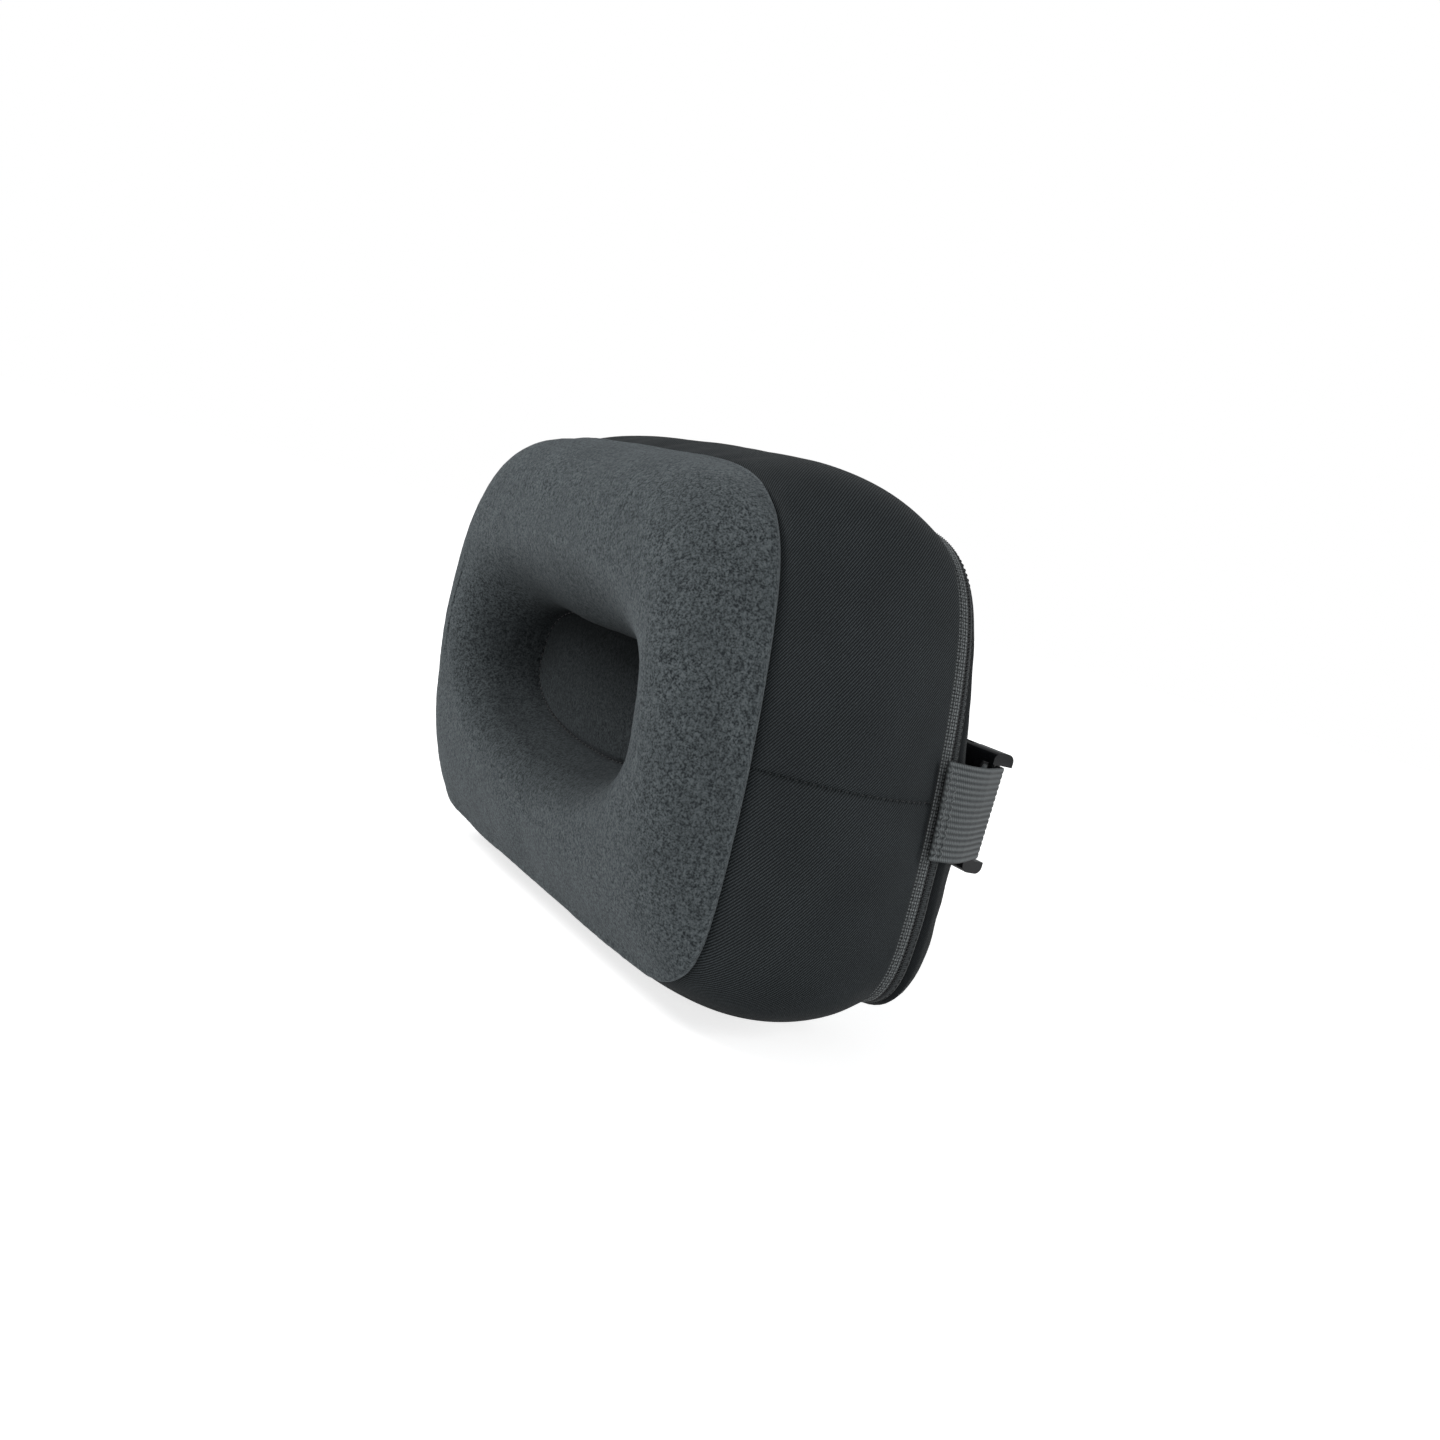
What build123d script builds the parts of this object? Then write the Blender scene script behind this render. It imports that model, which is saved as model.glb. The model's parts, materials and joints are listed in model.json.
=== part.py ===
"""Strap-on chair headrest pillow: moulded foam core, liner, sewn and zipped cover,
and a belt with a side-release buckle and a sliding adjuster.

Frame: +Z up, the head side faces -Y, the chair side faces +Y, +X is to the right as
seen by somebody facing the head side. The origin is the middle of the rear rest face,
where the pillow touches the chair back. Millimetres throughout.
"""

from build123d import *
import math
import os

# ---- cushion body ----------------------------------------------------------------
HALF_WIDTH = 110.9          # half width of the seam outline before it tapers
HALF_HEIGHT = 81.9          # half height of the seam outline
TAPER = -0.11               # the outline is narrower at the top than at the bottom
TAPER_CURVE = -0.08
CORNER_TOP = 5.93           # superellipse powers: larger is squarer
CORNER_BOTTOM = 8.43
BAND_DEPTH = 74.6           # front seam to zip line
REAR_CROWN = 18.0           # zip line to rest face
BULGE = 8.4                 # how far the side band swells at mid height
BULGE_ENDS = 2.75           # extra swelling at the top and bottom
CREST = 23.5                # front seam to the crest of the head side, at mid height
CREST_TILT = 0.17           # the crest is higher at the top and lower at the bottom
CROWN_RUN = 25.0            # inset over which the front crown rises
CROWN_SWEEP = 84.0          # degrees of the front crown's quarter round
REAR_RUN = 23.0             # inset over which the rear crown rises, low down
REAR_SLOPE = 38.0           # the same near the top, where it slopes away at once
REAR_FULL_Z = -35.0         # the rear edge stands out full below this height
REAR_SLACK_Z = 55.0         # and slopes away above this one
REAR_SWEEP = 80.0

# ---- head recess -------------------------------------------------------------------
RECESS_HALF_WIDTH = 64.0
RECESS_TOP = 24.0           # half heights of the floor patch above and below its middle
RECESS_BOTTOM = 22.0
RECESS_Z = -6.0
RECESS_FLOOR = 4.0          # depth of the floor behind the front seam plane
RECESS_WALL = 27.0          # run of the recess wall from floor to crest
RECESS_CURVE = 2.5          # the wall is steep at its foot and eases into the crest
RECESS_POWERS = (3.2, 2.3)  # superellipse powers of the floor above and below its middle
RECESS_INSET = 15.0         # the recess lies at least this far inside the seam outline

# ---- sewn layers -------------------------------------------------------------------
VELOUR = 2.0
CLOTH = 1.2
LINER = 1.0
LAYER_GAP = 0.5
SEAM_GAP = 0.1
SIDE_SEAM_Z = -5.5          # join of the upper and lower side panels

# ---- zip -----------------------------------------------------------------------------
TAPE_FRONT = 4.2            # width of tape seen in front of the zip line
TAPE_REAR = 3.2
TAPE = 0.9                  # tape thickness
COIL = 0.5                  # half width of the meshed chain
COIL_PROUD = 0.2
CHAIN_END = 4.0             # the chain stops this far each side of the bottom middle
STOP_WIDTH = 3.0
STOP_OFFSET = 0.6           # bottom middle to the near face of each stop
SLIDER_X = 11.2
SLIDER_HALF_LENGTH = 5.2
SLIDER_HALF_WIDTH = 4.2
SLIDER_PLATE = 2.0
SLIDER_GAP = 1.0            # slider plate to cloth
CHANNEL_HALF_WIDTH = 1.1
CHAIN_GAP = 0.05            # half of the gap between the two chain halves
PULL_PIN = 0.6
PULL_REACH = 24.0
PULL_HALF_WIDTH = 3.4
PULL_THICK = 1.2
PULL_WINDOW = 8.2            # length of the pull's slot, from its pin
PULL_PLAY = 0.3
ARCH_HALF_LENGTH = 3.7
ARCH_HALF_WIDTH = 1.0
ARCH_HEIGHT = 2.6
ARCH_WALL = 0.8

# ---- belt ----------------------------------------------------------------------------
WEBBING = 32.0              # webbing width
WEB = 1.5                   # webbing thickness
BELT_Z = -7.0
BUCKLE_Y = 8.6              # middle plane of the buckle, behind the rest face
BUCKLE_HEIGHT = 42.0        # across the webbing
BUCKLE_THICK = 8.4
BAR = 1.9                   # radius of the webbing bars
BAR_GAP = 0.2
ROOT_X = 119.2              # face of the webbing where it is sewn to the seam
ROOT_Y = -24.0              # the webbing covers the whole width of the zip tape
ROOT_LENGTH = 14.0
STRAP_TAIL = (9.2, 7.6)     # end of the short strap's tail, in and back from its root's bend
BELT_SHOULDER = (-104.0, 7.6)
BELT_FLAT = (-94.0, 10.0)   # from here the long strap runs straight along the chair side
THREAD = 0.5
STITCH_ROWS = 3
STITCH_PITCH = 1.5
STITCH_WIDTH = 0.7
FEMALE_MOUTH = 66.0
FEMALE_BAR_X = 103.0
FEMALE_END = 107.0
FEMALE_FRAME = 97.5         # where the strap opening starts
SOCKET_END = 95.0
SOCKET_HALF_HEIGHT = 17.0
SOCKET_HALF_THICK = 2.7
WINDOW = (80.0, 92.0)
MALE_BAR_X = 42.0
MALE_END = 38.0
MALE_FRAME = 47.5
MALE_SHOULDER = 65.6
MALE_POCKET = 60.0          # floor of the pocket that holds the prongs' roots
PRONG_PIVOT = 63.0          # middle of the round root that each prong turns about
TONGUE_END = 92.0
TONGUE_HALF_HEIGHT = 3.0
CLIP_HALF_THICK = 2.5       # tongue and prongs, through the buckle's thickness
PRONG_INNER = 10.5
PRONG_OUTER = 16.0
PRONG_BUTTON = 20.4
PRONG_TIP_GAP = 0.8         # tip to the window's far end
PRONG_HEEL_GAP = 0.4        # button to the window's near end
PRONG_BUTTON_RUN = 8.5      # length of the button's flat
ADJUSTER_X = -45.0
ADJUSTER_HALF_LENGTH = 11.0
ADJUSTER_BAR_Y = 6.3
ADJUSTER_BAR = 1.0
ADJUSTER_SPAN = (4.7, 13.6)  # inner and outer faces of the slider's frame
ADJUSTER_END_Y = 12.3        # the two outer bars
ADJUSTER_END_BAR = 1.25

BAND_FRONT = -(BAND_DEPTH + REAR_CROWN)
ZIP_Y = -REAR_CROWN
BAND_REAR = ZIP_Y - TAPE_FRONT
OUTLINE_POINTS = 60
RECESS_POINTS = 36
FAR = 160.0


# ---- shape formulas ------------------------------------------------------------------
def taper_at(height_share):
    return 1 + TAPER * height_share + TAPER_CURVE * (height_share ** 2 - 0.5)


def gauge(x, z, grow):
    """Below 1 inside the seam outline grown by grow, above 1 outside it."""
    share = z / (HALF_HEIGHT + grow)
    power = CORNER_TOP if z > 0 else CORNER_BOTTOM
    across = abs(x) / ((HALF_WIDTH + grow) * taper_at(max(-1.3, min(1.3, share))))
    return across ** power + abs(share) ** power


def bisect(is_inside, low, high):
    """Largest value between low and high for which is_inside still holds."""
    for _ in range(30):
        middle = (low + high) / 2
        if is_inside(middle):
            low = middle
        else:
            high = middle
    return low


def outline_point(angle, grow):
    cosine, sine = math.cos(angle), math.sin(angle)
    reach = bisect(lambda r: gauge(r * cosine, r * sine, grow) < 1, 1.0, 200.0)
    return reach * cosine, reach * sine


# ---- building blocks -----------------------------------------------------------------
def outline_wire(y, grow, lean=0.0):
    """The seam outline grown by grow, in a plane that leans back by lean for each mm of height."""
    points = []
    for i in range(OUTLINE_POINTS):
        x, z = outline_point(2 * math.pi * i / OUTLINE_POINTS, grow)
        points.append((x, y + lean * z, z))
    return Wire([Edge.make_spline(points, periodic=True)])


def recess_wire(y, out, lean=0.0):
    """The recess floor's outline grown by out."""
    points = []
    for i in range(RECESS_POINTS):
        angle = 2 * math.pi * i / RECESS_POINTS
        cosine, sine = math.cos(angle), math.sin(angle)
        power = RECESS_POWERS[0] if sine > 0 else RECESS_POWERS[1]
        high = RECESS_TOP if sine > 0 else RECESS_BOTTOM
        across = abs(cosine) / (RECESS_HALF_WIDTH + out)
        reach = (across ** power + (abs(sine) / (high + out)) ** power) ** (-1 / power)
        z = RECESS_Z + reach * sine
        points.append((reach * cosine, y + lean * z, z))
    return Wire([Edge.make_spline(points, periodic=True)])


def swollen_wire(share, grow):
    """Section of the side band, share 0 at the front seam and 1 at the zip tape."""
    y = BAND_FRONT + share * (BAND_REAR - BAND_FRONT)
    points = []
    for i in range(OUTLINE_POINTS):
        angle = 2 * math.pi * i / OUTLINE_POINTS
        x, z = outline_point(angle, grow)
        swell = (BULGE + BULGE_ENDS * (z / HALF_HEIGHT) ** 2) * 4 * share * (1 - share)
        out = math.hypot(x / HALF_WIDTH ** 2, z / HALF_HEIGHT ** 2)
        points.append((x + swell * x / HALF_WIDTH ** 2 / out, y, z + swell * z / HALF_HEIGHT ** 2 / out))
    return Wire([Edge.make_spline(points, periodic=True)])


def band_solid(grow):
    return Solid.make_loft([swollen_wire(i / 4, grow) for i in range(5)])


def outline_prism(grow, low, high):
    face = Face(outline_wire(low, grow))
    return Solid.extrude(face, Vector(0, high - low, 0))


def head_cap(grow):
    """Crowned head side without its recess, from the front seam to the crest."""
    last, wires = math.radians(CROWN_SWEEP), []
    for i in range(6):
        angle = last * i / 5
        rise = (CREST + grow) * math.sin(angle) / math.sin(last)
        inward = CROWN_RUN * (1 - math.cos(angle)) / (1 - math.cos(last))
        lean = -rise * CREST_TILT / HALF_HEIGHT
        wires.append(outline_wire(BAND_FRONT - rise, grow - inward, lean))
    return Solid.make_loft(wires)


def recess_bowl(grow):
    """Room the recess takes out of the head side, from its floor to above the crest."""
    floor = BAND_FRONT + RECESS_FLOOR - grow
    travel = CREST + RECESS_FLOOR + 0.3
    wires = []
    for run in (0.0, 0.08, 0.2, 0.4, 0.62, 0.84):
        share = 1 - (1 - run) ** RECESS_CURVE
        lean = -share * CREST * CREST_TILT / HALF_HEIGHT
        wires.append(recess_wire(floor - share * travel, RECESS_WALL * run - grow, lean))
    lean = -CREST * CREST_TILT / HALF_HEIGHT
    wires.append(recess_wire(floor - travel - 3, RECESS_WALL * 1.05 - grow, lean))
    return Solid.make_loft(wires)


def rear_slack(z):
    """0 where the rear edge stands out full and 1 where it slopes away."""
    share = max(0.0, min(1.0, (z - REAR_FULL_Z) / (REAR_SLACK_Z - REAR_FULL_Z)))
    return share * share * (3 - 2 * share)


def rear_wire(y, grow, full, sloped):
    """Section of the rear crown, inset by full low down and by sloped near the top."""
    points = []
    for i in range(OUTLINE_POINTS):
        angle = 2 * math.pi * i / OUTLINE_POINTS
        inward = full + (sloped - full) * rear_slack(outline_point(angle, grow)[1])
        x, z = outline_point(angle, grow - inward)
        points.append((x, y, z))
    return Wire([Edge.make_spline(points, periodic=True)])


def rear_cap(grow):
    """Crowned chair side, from the zip tape's rear edge to the flat rest face."""
    base, last = ZIP_Y + TAPE_REAR, math.radians(REAR_SWEEP)
    wires = []
    for i in range(5):
        angle = last * i / 4
        rise = (grow - base) * math.sin(angle) / math.sin(last)
        full = REAR_RUN * (1 - math.cos(angle)) / (1 - math.cos(last))
        sloped = REAR_SLOPE * (1 - math.sqrt(1 - math.sin(angle)))
        wires.append(rear_wire(base + rise, grow, full, sloped))
    return Solid.make_loft(wires)


def body_solid(grow):
    """The whole cushion, its skin moved out by grow."""
    zip_band = outline_prism(grow, BAND_REAR, ZIP_Y + TAPE_REAR)
    shell = head_cap(grow) + band_solid(grow) + zip_band + rear_cap(grow)
    return shell - recess_bowl(grow)


def ring(low, high, outer, inner):
    return outline_prism(outer, low, high) - outline_prism(inner, low - 1, high + 1)


def slab(x, y, z):
    """A box given by its limits on each axis."""
    size = (x[1] - x[0], y[1] - y[0], z[1] - z[0])
    middle = ((x[0] + x[1]) / 2, (y[0] + y[1]) / 2, (z[0] + z[1]) / 2)
    return Pos(*middle) * Box(*size)


def rod(start, end, radius):
    start, end = Vector(*start), Vector(*end)
    plane = Plane(origin=start, z_dir=end - start)
    return Solid.make_cylinder(radius, (end - start).length, plane)


def rounded(shape, radius, axis=Axis.Y):
    return fillet(shape.edges().filter_by(axis), radius)


# ---- cushion -------------------------------------------------------------------------
def foam_core():
    return body_solid(-VELOUR - LINER - 2 * LAYER_GAP)


def inner_liner():
    out = VELOUR + LAYER_GAP
    return body_solid(-out) - body_solid(-out - LINER)


def head_block(grow):
    """Head side of the cushion, carried straight back behind the front seam."""
    behind = outline_prism(grow, BAND_FRONT, BAND_FRONT + 30)
    return head_cap(grow) + behind - recess_bowl(grow)


def front_cover():
    """Velour from the front seam over the crest and down the recess wall."""
    ahead = slab((-FAR, FAR), (-FAR, BAND_FRONT - SEAM_GAP), (-FAR, FAR))
    hollow = outline_prism(-RECESS_INSET, BAND_FRONT - 1, BAND_FRONT + 10)
    patch = Solid.extrude(Face(recess_wire(-FAR, SEAM_GAP)), Vector(0, 2 * FAR, 0))
    return (head_block(0) - head_block(-VELOUR)) & (ahead + hollow) - patch


def recess_patch():
    face = Face(recess_wire(BAND_FRONT + RECESS_FLOOR, -SEAM_GAP))
    return Solid.extrude(face, Vector(0, VELOUR, 0))


def side_band():
    keep = slab((-FAR, FAR), (BAND_FRONT + SEAM_GAP, BAND_REAR - SEAM_GAP), (-FAR, FAR))
    return (band_solid(0) - band_solid(-CLOTH)) & keep


def side_panel(low, high):
    return side_band() & slab((-FAR, FAR), (-FAR, FAR), (low, high))


def rear_panel():
    base = ZIP_Y + TAPE_REAR + SEAM_GAP
    return (rear_cap(0) - rear_cap(-CLOTH)) & slab((-FAR, FAR), (base, 1), (-FAR, FAR))


# ---- zip -----------------------------------------------------------------------------
def chain_half(low, high):
    gap = slab((-CHAIN_END, CHAIN_END), (-FAR, FAR), (-FAR, 0))
    return ring(low, high, COIL_PROUD, -CLOTH) - gap


def zip_stop(side):
    x = sorted((side * STOP_OFFSET, side * (STOP_OFFSET + STOP_WIDTH)))
    z = (-HALF_HEIGHT - SLIDER_GAP, -HALF_HEIGHT + CLOTH)
    return rounded(slab(x, (ZIP_Y - COIL, ZIP_Y + COIL), z), 0.3)


def zip_slider():
    low = -HALF_HEIGHT - SLIDER_GAP - SLIDER_PLATE
    x = (SLIDER_X - SLIDER_HALF_LENGTH, SLIDER_X + SLIDER_HALF_LENGTH)
    y = (ZIP_Y - SLIDER_HALF_WIDTH, ZIP_Y + SLIDER_HALF_WIDTH)
    body = rounded(slab(x, y, (low, -HALF_HEIGHT - 0.3)), 1.6, Axis.Z)
    channel_y = (ZIP_Y - CHANNEL_HALF_WIDTH, ZIP_Y + CHANNEL_HALF_WIDTH)
    channel = slab((-FAR, FAR), channel_y, (-HALF_HEIGHT - SLIDER_GAP, 0))
    bridge_y = (ZIP_Y - ARCH_HALF_WIDTH, ZIP_Y + ARCH_HALF_WIDTH)
    bridge_x = (SLIDER_X - ARCH_HALF_LENGTH, SLIDER_X + ARCH_HALF_LENGTH)
    bridge = rounded(slab(bridge_x, bridge_y, (low - ARCH_HEIGHT, low + 1.5)), 0.7)
    eye_x = (bridge_x[0] + ARCH_WALL, bridge_x[1] - ARCH_WALL)
    eye = slab(eye_x, (-FAR, FAR), (low - ARCH_HEIGHT + ARCH_WALL, low))
    return body + (bridge - eye) - channel


PULL_X = SLIDER_X + ARCH_HALF_LENGTH - ARCH_WALL - PULL_PIN - PULL_PLAY
PULL_Z = -HALF_HEIGHT - SLIDER_GAP - SLIDER_PLATE - PULL_PLAY - PULL_PIN


def zip_pull():
    z = (PULL_Z - PULL_THICK / 2, PULL_Z + PULL_THICK / 2)
    x = (PULL_X - PULL_PIN, PULL_X + PULL_REACH)
    y = (ZIP_Y - PULL_HALF_WIDTH, ZIP_Y + PULL_HALF_WIDTH)
    blade = rounded(slab(x, y, z), 0.55, Axis.Z)
    window_y = (ZIP_Y - ARCH_HALF_WIDTH - 0.4, ZIP_Y + ARCH_HALF_WIDTH + 0.4)
    window = slab((x[0] - 1, PULL_X + PULL_WINDOW), window_y, (z[0] - 1, z[1] + 1))
    pin = rod((PULL_X, window_y[0] - 0.2, PULL_Z), (PULL_X, window_y[1] + 0.2, PULL_Z), PULL_PIN)
    return blade - window + pin


# ---- belt ----------------------------------------------------------------------------
def tangent_point(centre, radius, outside, side):
    """Where a line from the point outside touches the circle, on the given side."""
    dx, dy = outside[0] - centre[0], outside[1] - centre[1]
    turn = math.atan2(dy, dx) + side * math.acos(radius / math.hypot(dx, dy))
    return centre[0] + radius * math.cos(turn), centre[1] + radius * math.sin(turn)


def webbing(lines):
    """Webbing of the belt's width along lines drawn in plan, x across and y back."""
    face = trace(lines, WEB)
    strip = extrude(face, WEBBING)
    return Pos(0, 0, BELT_Z - WEBBING / 2) * strip


def over_bar(centre, radius, start, end):
    """Arc round the rear side of a bar, between two plan points."""
    middle = math.pi / 2
    if end[0] > start[0]:
        middle += 0.3
    top = (centre[0] + radius * math.cos(middle), centre[1] + radius * math.sin(middle))
    return ThreePointArc(start, top, end)


def short_strap():
    centre, radius = (FEMALE_BAR_X, BUCKLE_Y), BAR + BAR_GAP + WEB / 2
    root_x = ROOT_X + WEB / 2
    bend = (root_x, ROOT_Y + ROOT_LENGTH)
    outer = tangent_point(centre, radius, bend, 1)
    tail_end = (bend[0] - STRAP_TAIL[0], bend[1] + STRAP_TAIL[1])
    inner = tangent_point(centre, radius, tail_end, -1)
    lines = [
        Line((root_x, ROOT_Y), bend),
        Line(bend, outer),
        over_bar(centre, radius, outer, inner),
        Line(inner, tail_end),
    ]
    return webbing(lines)


def long_strap():
    centre, radius = (MALE_BAR_X, BUCKLE_Y), BAR + BAR_GAP + WEB / 2
    hook, small = (ADJUSTER_X, ADJUSTER_BAR_Y), ADJUSTER_BAR + BAR_GAP + WEB / 2
    root_x = -ROOT_X - WEB / 2
    bend = (root_x, ROOT_Y + ROOT_LENGTH)
    crest = (ADJUSTER_X, BELT_FLAT[1])
    outer = tangent_point(centre, radius, crest, -1)
    under = (centre[0], centre[1] - radius)
    lines = [
        Line((root_x, ROOT_Y), bend),
        Line(bend, BELT_SHOULDER),
        Line(BELT_SHOULDER, BELT_FLAT),
        Line(BELT_FLAT, crest),
        Line(crest, outer),
        ThreePointArc(outer, (centre[0] + radius, centre[1]), under),
        Line(under, (hook[0], hook[1] - small)),
        ThreePointArc(
            (hook[0], hook[1] - small),
            (hook[0] - small, hook[1]),
            (hook[0] + small * math.cos(1.9), hook[1] + small * math.sin(1.9)),
        ),
    ]
    return webbing(lines)


def root_stitching(side):
    """Rows of thread through the webbing where it is sewn to the rear seam."""
    out = ROOT_X + WEB
    x = sorted((side * out, side * (out + THREAD)))
    half = WEBBING / 2 - STITCH_PITCH
    rows = Part()
    for row in range(STITCH_ROWS):
        low = ROOT_Y + THREAD + row * STITCH_PITCH
        rows += slab(x, (low, low + STITCH_WIDTH), (BELT_Z - half, BELT_Z + half))
    return rows


def frame_block(x, thick=BUCKLE_THICK, height=BUCKLE_HEIGHT, middle=BUCKLE_Y, round_off=2.6):
    block = slab(x, (middle - thick / 2, middle + thick / 2), (BELT_Z - height / 2, BELT_Z + height / 2))
    return fillet(block.edges().filter_by(Axis.X), round_off)


def bar_opening(x):
    half = WEBBING / 2 + 0.7
    return slab(x, (-FAR, FAR), (BELT_Z - half, BELT_Z + half))


def upright_bar(x, y, radius):
    half = WEBBING / 2 + 1.2
    return rod((x, y, BELT_Z - half), (x, y, BELT_Z + half), radius)


def socket_slot(x, half_height, half_thick):
    y = (BUCKLE_Y - half_thick, BUCKLE_Y + half_thick)
    return slab(x, y, (BELT_Z - half_height, BELT_Z + half_height))


def buckle_female():
    body = frame_block((FEMALE_MOUTH, FEMALE_END))
    body -= bar_opening((FEMALE_FRAME, FEMALE_END + 1))
    body -= socket_slot((FEMALE_MOUTH - 1, SOCKET_END), SOCKET_HALF_HEIGHT, SOCKET_HALF_THICK)
    body -= socket_slot(WINDOW, BUCKLE_HEIGHT, SOCKET_HALF_THICK)
    return body + upright_bar(FEMALE_BAR_X, BUCKLE_Y, BAR)


def buckle_male():
    body = frame_block((MALE_END, MALE_SHOULDER))
    body -= bar_opening((MALE_END - 1, MALE_FRAME))
    body -= socket_slot((MALE_POCKET, MALE_SHOULDER + 1), SOCKET_HALF_HEIGHT, SOCKET_HALF_THICK)
    tongue = socket_slot((MALE_POCKET - 0.5, TONGUE_END), TONGUE_HALF_HEIGHT, CLIP_HALF_THICK)
    return body + upright_bar(MALE_BAR_X, BUCKLE_Y, BAR) + fillet(tongue.edges().filter_by(Axis.Y), 1.0)


def prong(side):
    """One springing arm with its round root and its latch button, side is 1 above and -1 below."""
    tip, heel = WINDOW[1] - PRONG_TIP_GAP, WINDOW[0] + PRONG_HEEL_GAP
    points = [
        (PRONG_PIVOT, PRONG_INNER),
        (tip, PRONG_INNER),
        (tip, PRONG_OUTER),
        (heel + PRONG_BUTTON_RUN, PRONG_BUTTON),
        (heel, PRONG_BUTTON),
        (heel, PRONG_OUTER),
        (PRONG_PIVOT, PRONG_OUTER),
    ]
    low, high = BUCKLE_Y - CLIP_HALF_THICK, BUCKLE_Y + CLIP_HALF_THICK
    corners = [(x, low, BELT_Z + side * up) for x, up in points]
    face = Face(Wire.make_polygon(corners, close=True))
    arm = Solid.extrude(face, Vector(0, high - low, 0))
    pivot_z = BELT_Z + side * (PRONG_INNER + PRONG_OUTER) / 2
    root = rod((PRONG_PIVOT, low, pivot_z), (PRONG_PIVOT, high, pivot_z), (PRONG_OUTER - PRONG_INNER) / 2)
    return arm + root


def adjuster():
    """Three-bar slider: outer bars behind the webbing, middle bar in front of it."""
    x = (ADJUSTER_X - ADJUSTER_HALF_LENGTH, ADJUSTER_X + ADJUSTER_HALF_LENGTH)
    low, high = ADJUSTER_SPAN
    frame = frame_block(x, high - low, BUCKLE_HEIGHT, (low + high) / 2, 2.0)
    frame -= bar_opening((x[0] - 1, x[1] + 1))
    frame += upright_bar(ADJUSTER_X, ADJUSTER_BAR_Y, ADJUSTER_BAR)
    for end in (x[0] + 2.0, x[1] - 2.0):
        frame += upright_bar(end, ADJUSTER_END_Y, ADJUSTER_END_BAR)
    return frame


# ---- write one file per piece -----------------------------------------------------------
PIECES = {
    "foam_core": foam_core,
    "inner_liner": inner_liner,
    "front_cover": front_cover,
    "recess_patch": recess_patch,
    "upper_side_panel": lambda: side_panel(SIDE_SEAM_Z + SEAM_GAP, FAR),
    "lower_side_panel": lambda: side_panel(-FAR, SIDE_SEAM_Z - SEAM_GAP),
    "rear_panel": rear_panel,
    "zip_tape_front": lambda: ring(BAND_REAR, ZIP_Y - COIL - CHAIN_GAP, 0, -TAPE),
    "zip_tape_rear": lambda: ring(ZIP_Y + COIL + CHAIN_GAP, ZIP_Y + TAPE_REAR, 0, -TAPE),
    "zip_chain_front": lambda: chain_half(ZIP_Y - COIL, ZIP_Y - CHAIN_GAP),
    "zip_chain_rear": lambda: chain_half(ZIP_Y + CHAIN_GAP, ZIP_Y + COIL),
    "zip_stop_start": lambda: zip_stop(-1),
    "zip_stop_end": lambda: zip_stop(1),
    "zip_slider": zip_slider,
    "zip_pull": zip_pull,
    "short_strap": short_strap,
    "short_strap_stitching": lambda: root_stitching(1),
    "long_strap": long_strap,
    "long_strap_stitching": lambda: root_stitching(-1),
    "buckle_female": buckle_female,
    "buckle_male": buckle_male,
    "upper_prong": lambda: prong(1),
    "lower_prong": lambda: prong(-1),
    "strap_adjuster": adjuster,
}

os.makedirs("parts", exist_ok=True)
for name, build in PIECES.items():
    export_step(Compound(children=list(build().solids())), f"parts/{name}.step")
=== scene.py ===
"""Looks of the strap-on headrest pillow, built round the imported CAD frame. Metres."""

import json
import math

import bpy
import numpy as np
from mathutils import Matrix, Vector, noise

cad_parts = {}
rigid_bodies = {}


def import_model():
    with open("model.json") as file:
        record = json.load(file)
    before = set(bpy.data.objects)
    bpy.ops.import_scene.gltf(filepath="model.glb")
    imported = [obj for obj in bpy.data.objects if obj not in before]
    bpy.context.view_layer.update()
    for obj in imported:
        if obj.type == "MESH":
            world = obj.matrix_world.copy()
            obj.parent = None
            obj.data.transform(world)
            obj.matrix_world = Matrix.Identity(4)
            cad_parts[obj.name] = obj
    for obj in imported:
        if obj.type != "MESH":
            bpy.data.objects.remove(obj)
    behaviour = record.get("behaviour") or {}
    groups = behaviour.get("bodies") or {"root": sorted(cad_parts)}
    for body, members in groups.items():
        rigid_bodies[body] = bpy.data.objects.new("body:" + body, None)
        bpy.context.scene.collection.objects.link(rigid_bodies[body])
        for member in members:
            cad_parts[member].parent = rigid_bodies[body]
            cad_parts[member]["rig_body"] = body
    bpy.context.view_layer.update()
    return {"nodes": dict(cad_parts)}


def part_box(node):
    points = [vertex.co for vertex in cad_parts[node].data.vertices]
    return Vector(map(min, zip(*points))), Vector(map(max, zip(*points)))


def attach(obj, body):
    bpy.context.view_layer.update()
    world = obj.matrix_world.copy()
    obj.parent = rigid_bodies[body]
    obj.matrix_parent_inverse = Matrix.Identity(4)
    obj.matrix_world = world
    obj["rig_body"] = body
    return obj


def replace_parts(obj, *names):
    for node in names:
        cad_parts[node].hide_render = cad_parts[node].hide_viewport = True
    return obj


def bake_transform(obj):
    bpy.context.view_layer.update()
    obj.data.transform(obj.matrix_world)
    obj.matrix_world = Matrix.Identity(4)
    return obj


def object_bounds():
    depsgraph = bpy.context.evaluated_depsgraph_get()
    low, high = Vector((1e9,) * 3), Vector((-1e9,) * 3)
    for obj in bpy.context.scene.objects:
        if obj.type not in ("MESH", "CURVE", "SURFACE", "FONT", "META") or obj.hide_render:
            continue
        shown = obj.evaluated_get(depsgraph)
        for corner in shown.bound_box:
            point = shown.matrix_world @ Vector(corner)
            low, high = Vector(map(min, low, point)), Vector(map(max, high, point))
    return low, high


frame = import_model()

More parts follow.
